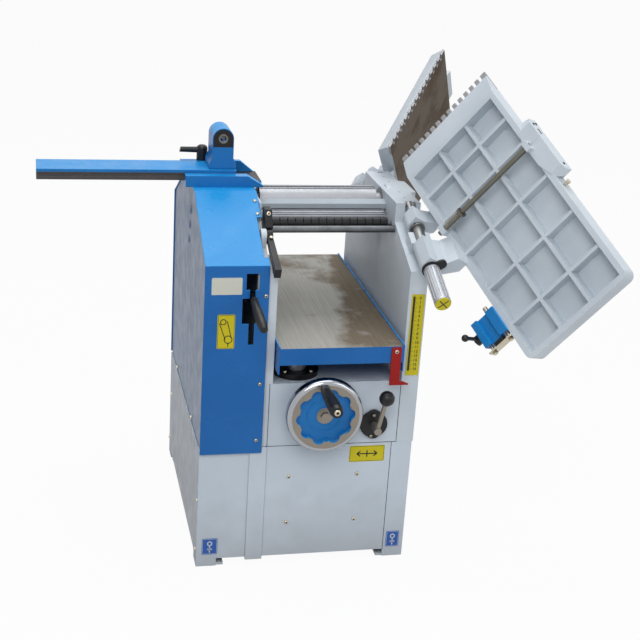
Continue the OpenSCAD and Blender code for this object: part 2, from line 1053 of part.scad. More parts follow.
module pointer() {
    color("firebrick")
    difference() {
        front_form([bed_y0 - pointer_t, bed_y0])
            polygon([[pointer_x, bed_z - pointer_up], [pointer_x + pointer_w, bed_z - pointer_up],
                [pointer_x + pointer_w, bed_z - pointer_drop + pointer_tip_h],
                [pointer_x + pointer_tip, bed_z - pointer_drop + pointer_tip_h / 4],
                [pointer_x + pointer_tip, bed_z - pointer_drop],
                [pointer_x, bed_z - pointer_drop]]);
        bar_y(pointer_x + pointer_w / 2, [bed_y0 - pointer_t - over, bed_y0 + over],
            bed_z - pointer_hole_in, pointer_hole_d);
    }
}

module lift_gearbox() {
    top = deck_z - deck_t;
    color("slategray")
    difference() {
        box([gear_x0, gear_x1], [-gear_y, gear_y], [top - gear_h, top]);
        bar_z(0, 0, [top - gear_h - over, top + over], screw_d + 2 * deck_clear);
        bar_z(0, 0, [top - gear_h - over, top - gear_h + nut_in + over], nut_d + 2 * run_fit);
        bar_y(wheel_x, [-gear_y - over, -gear_y + wheel_shaft_in + over], wheel_z, wheel_shaft_d + 2 * run_fit);
    }
}
wheel_shaft_in = 34;

module lift_nut() {
    low = deck_z - deck_t - gear_h;
    color("goldenrod")
    difference() {
        union() {
            bar_z(0, 0, [low - nut_collar_t - seat_gap, low - seat_gap], nut_collar_d);
            bar_z(0, 0, [low - seat_gap - over, low + nut_in], nut_d);
        }
        bar_z(0, 0, [low - nut_collar_t - over, low + nut_in + over], screw_d + 2 * run_fit);
    }
}

// Controls

module handwheel() {
    color("steelblue")
    translate([wheel_x, wheel_y, wheel_z])
        rotate([90, -crank_turn, 0])
            difference() {
                union() {
                    rotate_extrude()
                        wheel_section();
                    translate([0, 0, -hub_back])
                        cylinder(h = hub_back + hub_front, d = hub_d);
                }
                for (i = [0:dish_n - 1])
                    rotate([0, 0, 90 + (i + 1 / 2) * 360 / dish_n])
                        translate([wheel_d / 2 - dish_lobe_in, 0, dish_t / 2])
                            cylinder(h = rim_w, d = dish_lobe_d);
                translate([0, 0, -hub_back - over])
                    cylinder(h = hub_back + hub_front + 2 * over, d = wheel_shaft_d);
                translate([0, crank_r, -rim_w])
                    cylinder(h = 2 * rim_w, d = stub_d);
            }
}
crank_turn = 5;

// Half section of the handwheel: flat ring with a round edge, recessed dish with a ridge
module wheel_section() {
    outer = wheel_d / 2;
    translate([wheel_shaft_d / 4, -dish_t / 2])
        square([outer - ring_in - wheel_shaft_d / 4 + over, dish_t]);
    translate([ridge_r - ridge_w / 2, 0])
        square([ridge_w, dish_t / 2 + ridge_h]);
    translate([outer - ring_in, -rim_w / 2])
        square([ring_in - rim_r, rim_w]);
    translate([outer - rim_r - over, -rim_w / 2 + rim_r])
        square([rim_r + over, rim_w - 2 * rim_r]);
    for (side = [-1, 1])
        translate([outer - rim_r, side * (rim_w / 2 - rim_r)])
            circle(r = rim_r);
}

module handwheel_shaft() {
    front = wheel_y - hub_front;
    color("silver") {
        bar_y(wheel_x, [front, -gear_y + wheel_shaft_in], wheel_z, wheel_shaft_d);
        bar_y(wheel_x, [front - washer_t, front], wheel_z, hub_d * nut_share);
        translate([wheel_x, front - washer_t, wheel_z])
            rotate([90, 0, 0])
                cylinder(h = nut_t, d = wheel_shaft_d, $fn = 6);
    }
}
washer_t = 2;
nut_t = 7;
nut_share = 0.85;

module wheel_grip() {
    color("#1a1a1c")
    translate([wheel_x, wheel_y, wheel_z])
        rotate([90, -crank_turn, 0])
            translate([0, crank_r, 0])
                grip_form();
}

// Turned grip with its stub in the wheel rim
module grip_form() {
    start = rim_w / 2 + seat_gap;
    translate([0, 0, -rim_w / 2])
        cylinder(h = rim_w / 2 + start, d = stub_d - 2 * run_fit);
    translate([0, 0, start])
        rotate_extrude()
            polygon([[0, 0], [grip_d * grip_shares[0], 0], [grip_d * grip_shares[1], grip_l * grip_shares[2]],
                [grip_d / 2, grip_l * grip_shares[3]], [grip_d / 2, grip_l * grip_shares[4]],
                [grip_d * grip_shares[1], grip_l], [0, grip_l]]);
}
grip_shares = [0.34, 0.4, 0.15, 0.6, 0.92];

module feed_flange() {
    color("#1a1a1c")
    difference() {
        translate([lever_x, -half_d, lever_z])
            rotate([90, 0, 0])
                linear_extrude(lever_flange_t)
                    flange_outline();
        bar_y(lever_x, [-half_d - lever_flange_t - over, -half_d + over], lever_z, lever_shaft_d + 2 * run_fit);
    }
}

// Oval outline of the feed lever flange
module flange_outline() {
    lobe = lever_flange_w * flange_lobe_share;
    circle(d = lever_flange_w);
    for (side = [-1, 1])
        translate([0, side * (lever_flange_h - lobe) / 2])
            circle(d = lobe);
    translate([-lobe / 2, -(lever_flange_h - lobe) / 2])
        square([lobe, lever_flange_h - lobe]);
}
flange_lobe_share = 0.56;

module feed_lever() {
    front = -half_d - lever_flange_t - lever_reach;
    color("silver") {
        bar_y(lever_x, [front + lever_rod_d, -half_d + wall_t + lever_tail], lever_z, lever_shaft_d);
        translate([lever_x, front + lever_rod_d + lever_shaft_d / 2, lever_z])
            rotate([lever_tip_a, lever_lean, 0])
                cylinder(h = lever_rise, d = lever_rod_d);
    }
}
lever_tail = 20;
lever_tip_a = 8;

module feed_knob() {
    front = -half_d - lever_flange_t - lever_reach;
    color("#1a1a1c")
    translate([lever_x, front + lever_rod_d + lever_shaft_d / 2, lever_z])
        rotate([lever_tip_a, lever_lean, 0])
            difference() {
                translate([0, 0, lever_rise])
                    sphere(d = ball_d);
                cylinder(h = lever_rise, d = lever_rod_d);
            }
}

module belt_lever() {
    color("silver")
    translate([belt_lever_x, belt_pivot_y, belt_pivot_z])
        rotate([-belt_tilt, 0, 0])
            difference() {
                union() {
                    translate([-belt_flat_t / 2, -belt_flat_l, -belt_flat_w / 2])
                        cube([belt_flat_t, belt_flat_l, belt_flat_w]);
                    bar_x([-belt_flat_t / 2, belt_flat_t / 2], 0, 0, belt_hub_d);
                    bar_x([-belt_pin_l, -belt_flat_t / 2], 0, 0, belt_pin_d);
                    bar_x([belt_flat_t / 2, belt_pin_reach], 0, 0, belt_pin_d);
                }
            }
}
belt_hub_d = 30;
belt_pin_d = 12;
belt_pin_l = 16;
belt_pin_reach = -belt_lever_x - web_x - side_gap;

module belt_grip() {
    color("#1a1a1c")
    translate([belt_lever_x, belt_pivot_y, belt_pivot_z])
        rotate([-belt_tilt, 0, 0])
            translate([0, -belt_flat_l + belt_sunk, 0])
                rotate([90 + belt_bend, 0, 0])
                    difference() {
                        rotate_extrude()
                            polygon([[0, 0], [belt_grip_d * belt_grip_shares[0], 0],
                                [belt_grip_d / 2, belt_grip_l * belt_grip_shares[1]],
                                [belt_grip_d / 2, belt_grip_l * belt_grip_shares[2]],
                                [belt_grip_d * belt_grip_shares[0], belt_grip_l], [0, belt_grip_l]]);
                        rotate([-90 - belt_bend, 0, 0])
                            translate([-belt_flat_t / 2, -belt_sunk, -belt_flat_w / 2])
                                cube([belt_flat_t, belt_flat_l, belt_flat_w]);
                    }
}
belt_bend = 34;
belt_sunk = 8;
belt_grip_shares = [0.38, 0.4, 0.85];

// Planing tables, drawn shut on the infeed side

// Casting of one planing table with its ribs and hinge knuckles
module table_casting() {
    low = table_z - table_t;
    recess_x = [table_left + table_rim, table_right - table_rim];
    recess_y = [table_end + table_rim, lip_y - lip_l - table_rim];
    difference() {
        union() {
            intersection() {
                side_form([table_left, table_right])
                    polygon([[lip_y, table_z - comb_t], [lip_y - comb_l + comb_over, table_z - comb_t],
                        [lip_y - comb_l + comb_over, table_z], [table_end, table_z],
                        [table_end, low], [lip_y - lip_l, low], [lip_y, table_z - lip_t]]);
                table_plan();
            }
            knuckles();
            rod_lugs();
            latch();
        }
        box(recess_x, recess_y, [low - over, low + rib_drop]);
        bays(recess_x, recess_y, low);
        on_hinge()
            translate([0, 0, lower_s[0] - over])
                cylinder(h = upper_s[1] - lower_s[0] + 2 * over, d = shaft_d + 2 * run_fit);
        bar_x([table_left - latch_t - over, table_right + over], rod_y, rod_z, rod_d + 2 * run_fit);
    }
}
comb_over = 7;

// Plan of the table with two rounded outer corners
module table_plan() {
    translate([0, 0, table_z - table_t - over])
        linear_extrude(table_t + 2 * over) {
            translate([table_left, table_end + end_r])
                square([table_w, table_l - end_r]);
            translate([table_left + end_r, table_end])
                square([table_w - 2 * end_r, end_r + over]);
            for (x = [table_left + end_r, table_right - end_r])
                translate([x, table_end + end_r])
                    circle(r = end_r);
        }
}

// Bays between the ribs
module bays(x, y, low) {
    cols = concat([0], bay_shares, [1]);
    rows = concat([0], rib_shares, [1]);
    for (i = [0:len(cols) - 2], j = [0:len(rows) - 2])
        box([x[0] + (x[1] - x[0]) * cols[i] + (i == 0 ? 0 : rib_t / 2),
            x[0] + (x[1] - x[0]) * cols[i + 1] - (i == len(cols) - 2 ? 0 : rib_t / 2)],
            [y[1] - (y[1] - y[0]) * rows[j + 1] + (j == len(rows) - 2 ? 0 : rib_t / 2),
            y[1] - (y[1] - y[0]) * rows[j] - (j == 0 ? 0 : rib_t / 2)],
            [low - over, table_z - skin_t]);
}

// Two hinge knuckles that reach from the table rim to the shaft
module knuckles() {
    reach = hinge_x - table_right + table_rim / 2;
    intersection() {
        on_hinge()
            for (s = [upper_s, lower_s])
                translate([0, 0, s[0]])
                    linear_extrude(s[1] - s[0]) {
                        circle(d = knuckle_d);
                        translate([-knuckle_d / 2, 0])
                            square(knuckle_d / 2);
                        polygon([[-knuckle_d / 2 * knuckle_share, knuckle_d / 2 * knuckle_share],
                            [knuckle_d / 2 * knuckle_share, -knuckle_d / 2 * knuckle_share],
                            [-reach / 2, -knuckle_h], [-reach, -knuckle_h], [-reach, -knuckle_rise],
                            [-reach + knuckle_d / 2, -knuckle_rise * knuckle_rise_share]]);
                    }
        box([table_right - table_rim / 2, hinge_x + knuckle_d], [table_end, 0],
            [table_z - table_t - knuckle_h - shaft_down, table_z - knuckle_top]);
    }
}
knuckle_share = 0.707;
knuckle_h = 58;
knuckle_rise = 32;
knuckle_rise_share = 0.6;
knuckle_top = 4;

// Lugs that carry the lock rod
module rod_lugs() {
    low = table_z - table_t;
    for (x = [[table_left, table_left + table_rim], [table_right - table_rim, table_right]])
        box(x, [rod_y - rod_lug / 2, rod_y + rod_lug / 2], [rod_z - rod_lug_h / 2, low + over]);
}

// Wedge shaped latch on the outer edge, with a pad that reaches under the rim
module latch() {
    top = table_z - latch_top;
    low = table_z - table_t - latch_pad;
    end = latch_y - latch_l;
    intersection() {
        side_form([table_left - latch_t, table_left + latch_under])
            polygon([[latch_y, top], [end, top], [end - latch_l * latch_shares[0], low + latch_h * latch_shares[1]],
                [end + latch_l * latch_shares[2], low], [latch_y - latch_l * latch_shares[3], low],
                [latch_y, top - latch_h * latch_shares[1]]]);
        translate([table_left, 0, low - over])
            linear_extrude(table_t + latch_pad)
                polygon([[-latch_t * latch_shares[4], latch_y], [-latch_t, latch_y - latch_t / 3],
                    [-latch_t, end], [-latch_t * latch_shares[5], end - latch_l * latch_shares[0]],
                    [0, end], [latch_under, latch_y - latch_l * latch_shares[6]],
                    [latch_under, latch_y - latch_l * latch_shares[7]], [0, latch_y]]);
    }
}
latch_shares = [0.06, 0.5, 0.06, 0.14, 0.4, 0.5, 0.72, 0.3];

// Steel comb plate on the lip
module comb_plate() {
    pitch = table_w / comb_n;
    gap = pitch * comb_gap_share;
    difference() {
        box([table_left, table_right], [lip_y - comb_l + comb_over, tooth_y],
            [table_z - comb_t, table_z]);
        for (i = [1:comb_n - 1])
            box([table_left + i * pitch - gap / 2, table_left + i * pitch + gap / 2],
                [lip_y - comb_over / 2, tooth_y + over], [table_z - comb_t - over, table_z + over]);
        side_form([table_left - over, table_right + over])
            polygon([[tooth_y - comb_bevel, table_z - comb_t - over], [tooth_y + over, table_z - comb_t - over],
                [tooth_y + over, table_z - comb_t + comb_bevel]]);
        for (share = comb_hole_shares)
            bar_z(table_left + table_w * share, lip_y - comb_l / 2 + comb_over,
                [table_z - comb_t - over, table_z + over], comb_hole_d);
    }
}
comb_gap_share = 0.46;
comb_bevel = 2;
comb_hole_shares = [0.1, 0.3, 0.5, 0.7, 0.9];
comb_hole_d = 7;

// Lock rod with its collar
module rod_form() {
    bar_x([table_left + rod_rest, table_right + rod_tail], rod_y, rod_z, rod_d);
    difference() {
        bar_x([spring_x - coil_l - rod_collar_t, spring_x - coil_l], rod_y, rod_z, rod_collar_d);
        bar_x([spring_x - coil_l - rod_collar_t - over, spring_x - coil_l + over], rod_y, rod_z, rod_d - over);
    }
}
rod_tail = 6;
spring_x = table_right - table_rim;

// Wound spring: one tube round the lock rod, ends straight along the rod
function coil_turn(t) = 360 * coil_n * t;
function coil_point(t) = [spring_x - seat_gap - wire_d - (coil_l - 2 * (wire_d + seat_gap)) * t,
    rod_y + coil_d / 2 * cos(coil_turn(t)), rod_z + coil_d / 2 * sin(coil_turn(t))];
coil_rings = 8 * coil_n;
coil_sides = 6;
coil_points = [for (i = [0:coil_rings]) coil_point(i / coil_rings)];
coil_path = concat([coil_points[0] + [wire_d, 0, 0]], coil_points,
    [coil_points[coil_rings] - [wire_d, 0, 0]]);
coil_gap = (coil_l - 2 * (wire_d + seat_gap)) / coil_n - wire_d;
echo("least gap between the spring's turns", coil_gap);

function unit(v) = v / norm(v);
function path_way(i) = unit(coil_path[min(i + 1, len(coil_path) - 1)] - coil_path[max(i - 1, 0)]);
function path_out(i) = let (c = [coil_path[i][0], rod_y, rod_z], r = unit(coil_path[i] - c), w = path_way(i))
    unit(r - w * (r * w));
function ring(i) = let (w = path_way(i), o = path_out(i), s = cross(w, o))
    [for (k = [0:coil_sides - 1]) coil_path[i]
        + wire_d / 2 * (o * cos(k * 360 / coil_sides) + s * sin(k * 360 / coil_sides))];

module spring_form() {
    rings = len(coil_path);
    points = [for (i = [0:rings - 1]) each ring(i)];
    walls = [for (i = [0:rings - 2], k = [0:coil_sides - 1]) let (a = i * coil_sides + k,
        b = i * coil_sides + (k + 1) % coil_sides) each [[a, b, a + coil_sides],
        [b, b + coil_sides, a + coil_sides]]];
    start = [for (k = [1:coil_sides - 2]) [0, k + 1, k]];
    last = (rings - 1) * coil_sides;
    finish = [for (k = [1:coil_sides - 2]) [last, last + k, last + k + 1]];
    polyhedron(points = points, faces = [for (f = concat(walls, start, finish)) [f[0], f[2], f[1]]]);
}

module infeed_table() {
    color("lightsteelblue")
        swung_open()
            table_casting();
}

module infeed_lip() {
    color("silver")
        swung_open()
            comb_plate();
}

module infeed_rod() {
    color("gray")
        swung_open()
            rod_form();
}

module infeed_spring() {
    color("dimgray")
        swung_open()
            spring_form();
}

module outfeed_table() {
    color("lightsteelblue")
        rear_copy()
            swung_open()
                table_casting();
}

module outfeed_lip() {
    color("silver")
        rear_copy()
            swung_open()
                comb_plate();
}

module outfeed_rod() {
    color("gray")
        rear_copy()
            swung_open()
                rod_form();
}

// Plain hinge shaft
module shaft_form() {
    on_hinge()
        translate([0, 0, -shaft_down])
            cylinder(h = shaft_up + shaft_down, d = shaft_d);
}

module infeed_shaft() {
    color("gray")
        shaft_form();
}

module outfeed_shaft() {
    color("gray")
        rear_copy()
            shaft_form();
}

module knob_flange() {
    color("#1a1a1c")
        swung_open()
            on_hinge()
                translate([0, 0, lower_s[0] - flange_t])
                    linear_extrude(flange_t)
                        difference() {
                            union() {
                                circle(d = knuckle_d - flange_t);
                                translate([-flange_ear, -flange_ear * ear_share])
                                    circle(d = flange_ear);
                                rotate(ear_turn)
                                    translate([0, -flange_ear / 2])
                                        square([flange_ear, flange_ear]);
                            }
                            circle(d = neck_d + 2 * run_fit);
                        }
}
flange_ear = 22;
ear_share = 0.4;
ear_turn = 180 + 22;

module adjust_knob() {
    color("lightgray")
        on_hinge() {
            translate([0, 0, lower_s[0] - flange_t - seat_gap - over])
                cylinder(h = -shaft_down - seat_gap - lower_s[0] + flange_t + seat_gap + over, d = neck_d);
            translate([0, 0, lower_s[0] - flange_t - seat_gap - knob_l])
                difference() {
                    cylinder(h = knob_l, d = knob_d);
                    for (i = [0:knob_rib_n - 1])
                        rotate([0, 0, i * 360 / knob_rib_n])
                            translate([knob_d / 2, 0, knob_end])
                                cylinder(h = knob_l - 2 * knob_end, d = knob_flute_d);
                }
        }
}
knob_rib_n = 16;
knob_end = 6;
knob_flute_d = 3;

module knob_cap() {
    color("gold")
        on_hinge()
            translate([0, 0, lower_s[0] - flange_t - seat_gap - knob_l - knob_cap_t])
                cylinder(h = knob_cap_t, d = knob_d - knob_cap_t);
}
knob_cap_t = 2;

// Guard bracket and its clamp lever, drawn shut

module guard_bracket() {
    top = table_z - guard_drop;
    color("royalblue")
        swung_open()
            difference() {
                box([table_right, table_right + guard_w], [guard_y, guard_y + guard_l], [top - guard_h, top]);
                box([table_right + guard_w / 3, table_right + guard_w / 3 + guard_slot_w],
                    [guard_y - over, guard_y + guard_l + over],
                    [top - guard_h - over, top - guard_h + guard_slot_h]);
                bar_x([table_right + guard_w / 2, table_right + guard_w + over], guard_y + guard_l / 2,
                    top - guard_h / 2, guard_stud_d + 2 * run_fit);
            }
}
guard_stud_d = 8;

module guard_lever() {
    x = table_right + guard_w + seat_gap;
    z = table_z - guard_drop - guard_h / 2;
    y = guard_y + guard_l / 2;
    color("#1a1a1c")
        swung_open() {
            bar_x([x, x + guard_boss_t], y, z, guard_boss_d);
            bar_x([x - guard_w / 3, x + over], y, z, guard_stud_d);
            bar_z(x + guard_boss_t / 2, y, [z - guard_arm_l, z], guard_arm_d);
            translate([x + guard_boss_t / 2, y, z - guard_arm_l])
                sphere(d = guard_ball_d);
        }
}

// Drive cover and fence

// Side outline of the drive cover
module cover_outline(t, low = cover_low) {
    y = half_d + cover_out - t;
    polygon([[-y, low], [-y, cover_z - t * cover_corner], [-cover_flat - t * cover_corner / 2, cover_top - t],
        [cover_flat + t * cover_corner / 2, cover_top - t], [y, cover_z - t * cover_corner], [y, low]]);
}
cover_corner = 0.65;

module drive_cover() {
    color("royalblue")
    difference() {
        side_form([base_left, cover_x - seat_gap])
            difference() {
                cover_outline(0);
                cover_outline(sheet_t, cover_low - over);
            }
        gate_cut();
        for (side = [-1, 1])
            scale([1, side, 1])
                box([-web_x - cover_notch, cover_x + over], [-half_d + rim_t, clamp_pivot_y + notch_run],
                    [shoulder_front, cover_top + over]);
    }
}
cover_notch = 2;
notch_run = 36;

// Stepped gate for the belt lever
module gate_cut() {
    y = [-half_d - cover_out - over, -half_d - cover_out + sheet_t + over];
    mid = gate_x + gate_w * gate_shares[0];
    box([gate_x + gate_w * gate_shares[1], gate_x + gate_w], y, [gate_upper, gate_top]);
    box([mid - gate_slit / 2, mid + gate_slit / 2], y, [gate_neck - over, gate_upper + over]);
    box([gate_x, gate_x + gate_w], y, [gate_mid, gate_neck]);
    box([mid - gate_slit / 2, mid + gate_slit / 2], y, [gate_low, gate_mid + over]);
}

module cover_side_panel() {
    color("lightslategray")
    difference() {
        side_form([base_left + sheet_t, base_left + 2 * sheet_t])
            cover_outline(sheet_t + side_gap);
        for (i = [0:louvre_n - 1])
            side_form([base_left + sheet_t - over, base_left + 2 * sheet_t + over])
                translate([louvre_y + i * louvre_step, louvre_z - i * louvre_pitch])
                    drop_outline();
    }
}

// Drop shaped opening, round below and pointed above
module drop_outline() {
    circle(d = drop_w);
    polygon([[-drop_w / 2 * drop_share, drop_w / 4], [drop_w / 2 * drop_share, drop_w / 4], [0, drop_h - drop_w / 2]]);
}
drop_share = 0.866;

// Side outline of the bracket walls with the nose cut back
module bracket_wall_form(z1) {
    polygon([[bracket_x0, cover_top], [bracket_x1, cover_top],
        [bracket_x1, cover_top + bracket_base / 2], [bracket_x1 - bracket_nose, z1], [bracket_x0, z1]]);
}

module fence_bracket() {
    front = fence_y - rail_w / 2 - side_gap;
    rear = fence_y + rail_w / 2 + side_gap;
    color("royalblue")
    difference() {
        union() {
            front_form([front - bracket_front, front])
                bracket_wall_form(cover_top + bracket_base + rail_t * bracket_share);
            front_form([rear, rear + bracket_wall])
                bracket_wall_form(cover_top + bracket_base + rail_t);
            box([bracket_x0, bracket_x1], [front - over, rear + over], [cover_top, cover_top + bracket_base]);
        }
        bar_z(fence_lever_x, rear + bracket_wall / 2, [cover_top + bracket_base, cover_top + bracket_base + rail_t + over],
            fence_stud_d + 2 * run_fit);
    }
}
bracket_share = 0.7;

module fence_rail() {
    low = cover_top + bracket_base + seat_gap;
    color("royalblue")
    difference() {
        box([rail_right - rail_l, rail_right], [fence_y - rail_w / 2, fence_y + rail_w / 2], [low, low + rail_t]);
        for (side = [-1, 1])
            box([rail_right - rail_l - over, rail_right + over],
                [fence_y + side * rail_w / 2 - rail_groove, fence_y + side * rail_w / 2 + rail_groove],
                [low + rail_t * rail_shares[0], low + rail_t * rail_shares[1]]);
    }
}
rail_groove = 3;
rail_shares = [0.35, 0.6];

module fence_upright() {
    low = cover_top + bracket_base + seat_gap + rail_t;
    x = rail_right - eye_foot / 2;
    color("royalblue")
    difference() {
        front_form([fence_y - eye_t / 2, fence_y + eye_t / 2])
            union() {
                polygon([[x - eye_foot / 2, low], [x + eye_foot / 2, low], [x + eye_foot / 2, low + eye_step],
                    [x + eye_d / 2, low + eye_step * 2], [x + eye_d / 2, eye_z], [x - eye_d / 2, eye_z],
                    [x - eye_d / 2, low + eye_step * 2], [x - eye_foot / 2, low + eye_step]]);
                translate([x, eye_z])
                    circle(d = eye_d);
            }
        bar_y(x, [fence_y - eye_t / 2 - over, fence_y + eye_t / 2 + over], eye_z, eye_bore_d);
    }
}
eye_step = 12;

module fence_lever() {
    z = cover_top + bracket_base + rail_t + seat_gap;
    y = fence_y + rail_w / 2 + side_gap + bracket_wall / 2;
    color("#1a1a1c") {
        bar_z(fence_lever_x, y, [z, z + fence_hub_h], fence_hub_d);
        bar_z(fence_lever_x, y, [z - rail_t * rail_shares[1], z + over], fence_stud_d);
        translate([fence_lever_x, y, z + fence_hub_h - fence_arm_d / 2])
            rotate([0, fence_arm_a - 90, 0])
                cylinder(h = fence_lever_l, d1 = fence_arm_d, d2 = fence_arm_d * fence_tip_share);
    }
}
fence_arm_d = 14;
fence_arm_a = 14;
fence_tip_share = 0.8;

// Shoulder clamps and their levers

function clamp_floor(y) = shoulder_z + (shoulder_foot + y) * tan(hinge_a);

module clamp_block() {
    y1 = clamp_y + clamp_l;
    top = flat_z - clamp_top;
    low = clamp_pivot_z - clamp_foot;
    side_form([-in_x, -in_x + clamp_w])
        difference() {
            polygon([[y1, top], [y1 - clamp_l * clamp_shares[0], top], [y1 - clamp_l * clamp_shares[1], top - clamp_head],
                [clamp_pivot_y + clamp_horn, clamp_pivot_z + clamp_hub_d / 2 + clamp_horn],
                [clamp_pivot_y + clamp_horn, low], [y1 - clamp_l * clamp_shares[0], low],
                [y1, clamp_pivot_z + clamp_foot / 2]]);
            translate([clamp_pivot_y, clamp_pivot_z])
                circle(d = clamp_hub_d + 2 * clamp_room);
        }
}
clamp_shares = [0.41, 0.515];
clamp_head = 16;
clamp_foot = 20;
clamp_horn = 5;
clamp_room = 1.5;
clamp_pivot_in = 14;
clamp_pivot_up = 22;
clamp_pivot_y = clamp_y + clamp_pivot_in;
clamp_pivot_z = clamp_floor(clamp_y) + clamp_pivot_up;

module shoulder_clamps() {
    color("#1a1a1c") {
        clamp_block();
        rear_copy()
            clamp_block();
    }
}

// Square lever bar with its hub and its pin in the ear
module clamp_lever_form() {
    x0 = -in_x + side_gap;
    translate([0, clamp_pivot_y, clamp_pivot_z]) {
        bar_x([-web_x + ear_in, x0 + over], 0, 0, clamp_pin_d);
        bar_x([x0, x0 + clamp_lever_w], 0, 0, clamp_hub_d);
        rotate([hinge_a, 0, 0])
            translate([x0 + clamp_hub_lip, -clamp_lever_l, -clamp_lever_t / 2])
                cube([clamp_lever_w - 2 * clamp_hub_lip, clamp_lever_l - clamp_pin_d, clamp_lever_t]);
    }
}
clamp_hub_lip = 0.8;

module front_clamp_lever() {
    color("#1a1a1c")
        clamp_lever_form();
}

module rear_clamp_lever() {
    color("#1a1a1c")
        rear_copy()
            clamp_lever_form();
}

module scale_plate() {
    x = in_x + scale_in;
    color("gold")
        box([x, x + scale_w], [-half_d - scale_t, -half_d], [scale_z0, scale_z1]);
}
scale_in = 7;

placed() base_front_panel();
placed() base_left_post();
placed() base_left_panel();
placed() base_right_panel();
placed() rear_panel();
placed() front_wall();
placed() deck();
placed() column_flanges();
placed() side_plate_right();
placed() side_plate_left();
placed() cross_beams();
placed() cross_rods();
placed() cutter_bearings();
placed() drive_cover();
placed() cover_side_panel();
placed() scale_plate();
placed() lift_gearbox();
placed() motor();
placed() drive_belt();
placed() feed_chain();
placed() fence_bracket();
placed() shoulder_clamps();
placed() feed_flange();
placed() outfeed_shaft();
placed() cutterhead();
placed() cutter_knives();
placed() cutter_pulley();
placed() infeed_roller();
placed() outfeed_roller();
placed() kickback_fingers();
placed() motor_pulley();
placed() thickness_table();
placed() lift_columns();
placed() pointer();
placed() lift_nut();
placed() handwheel();
placed() handwheel_shaft();
placed() wheel_grip();
placed() feed_lever();
placed() feed_knob();
placed() belt_lever();
placed() belt_grip();
placed() infeed_shaft();
placed() adjust_knob();
placed() knob_cap();
placed() infeed_table();
placed() infeed_lip();
placed() knob_flange();
placed() infeed_rod();
placed() infeed_spring();
placed() guard_bracket();
placed() guard_lever();
placed() outfeed_table();
placed() outfeed_lip();
placed() outfeed_rod();
placed() fence_rail();
placed() fence_upright();
placed() fence_lever();
placed() front_clamp_lever();
placed() rear_clamp_lever();
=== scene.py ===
# %% [markdown]
# # A combination planer thicknesser
# The machine stands with both planing tables swung up on their inclined hinges, ready to thickness a
# board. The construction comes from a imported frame, in metres, and this lesson gives it its surfaces
# and small parts.

# %% Load the frame
import json
import math

import bmesh
import bpy
from mathutils import Matrix, Quaternion, Vector


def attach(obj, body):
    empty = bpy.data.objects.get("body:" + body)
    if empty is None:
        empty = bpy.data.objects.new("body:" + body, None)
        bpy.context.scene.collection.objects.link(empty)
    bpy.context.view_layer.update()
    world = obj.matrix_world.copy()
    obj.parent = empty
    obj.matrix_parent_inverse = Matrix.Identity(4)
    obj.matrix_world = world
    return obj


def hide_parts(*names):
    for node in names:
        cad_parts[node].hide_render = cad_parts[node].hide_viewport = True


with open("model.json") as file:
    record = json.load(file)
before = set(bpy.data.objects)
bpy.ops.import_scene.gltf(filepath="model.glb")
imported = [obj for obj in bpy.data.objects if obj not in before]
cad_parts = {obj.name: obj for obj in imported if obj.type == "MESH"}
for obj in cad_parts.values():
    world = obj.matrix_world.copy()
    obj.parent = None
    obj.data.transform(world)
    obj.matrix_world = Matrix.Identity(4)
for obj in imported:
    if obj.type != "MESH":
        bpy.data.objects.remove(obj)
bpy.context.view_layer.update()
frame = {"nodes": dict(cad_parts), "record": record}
nodes = frame["nodes"]
MM = 0.001

# %% [markdown]
# ## The camera
# The photograph was taken from eye level, close to the left front corner, with a long lens.
# Yaw turns the view to the right, pitch looks down, and roll tilts the picture a little, as a hand does.

# %% Set up the camera
camera_place = Vector((-0.5583, -2.6894, 1.4874))
camera_yaw = math.radians(13.3)
camera_pitch = math.radians(-20.4)
camera_roll = math.radians(3.7)
camera_data = bpy.data.cameras.new("camera")
camera_data.sensor_fit = "HORIZONTAL"
camera_data.sensor_width = 36.0
camera_data.lens = 71.96
camera = bpy.data.objects.new("camera", camera_data)
bpy.context.scene.collection.objects.link(camera)
looking = Vector((
    math.sin(camera_yaw) * math.cos(camera_pitch),
    math.cos(camera_yaw) * math.cos(camera_pitch),
    math.sin(camera_pitch),
))
camera.rotation_mode = "QUATERNION"
camera.rotation_quaternion = looking.to_track_quat("-Z", "Y") @ Quaternion((0, 0, 1), camera_roll)
camera.location = camera_place
bpy.context.scene.camera = camera
print("camera looks along", [round(v, 3) for v in looking])

# %% [markdown]
# ## Colours and shader nodes
# Paint colours are written as screen hex values, and the shader wants linear light, so one function
# converts them. The next ones each add one shader node with its settings and its links, and give back
# what comes out of it. A pattern's scale is worked out from a real size: a noise scale of 1000 / size
# repeats every size millimetres.

# %% Helpers for materials
METRE = 1000


def linear(hex_colour):
    parts = [int(hex_colour[i:i + 2], 16) / 255 for i in (1, 3, 5)]
    light = [p / 12.92 if p <= 0.04045 else ((p + 0.055) / 1.055) ** 2.4 for p in parts]
    return (*light, 1.0)


def every(size_mm):
    return METRE / size_mm


def add(tree, kind, inputs=None, **settings):
    made = tree.nodes.new(kind)
    for key, value in settings.items():
        setattr(made, key, value)
    for key, value in (inputs or {}).items():
        if isinstance(value, bpy.types.NodeSocket):
            tree.links.new(value, made.inputs[key])
        else:
            made.inputs[key].default_value = value
    return made


def noise(tree, spot, size_mm, detail, roughness=0.5):
    settings = {"Vector": spot, "Scale": every(size_mm), "Detail": detail, "Roughness": roughness}
    return add(tree, "ShaderNodeTexNoise", settings).outputs[0]


def spread(tree, value, low, high, new_low=0.0, new_high=1.0):
    settings = {"Value": value, "From Min": low, "From Max": high, "To Min": new_low, "To Max": new_high}
    return add(tree, "ShaderNodeMapRange", settings).outputs[0]


def mixed(tree, share, first, second, blend="MIX"):
    colours = {0: share, 6: first, 7: second}
    return add(tree, "ShaderNodeMix", colours, data_type="RGBA", blend_type=blend).outputs[2]


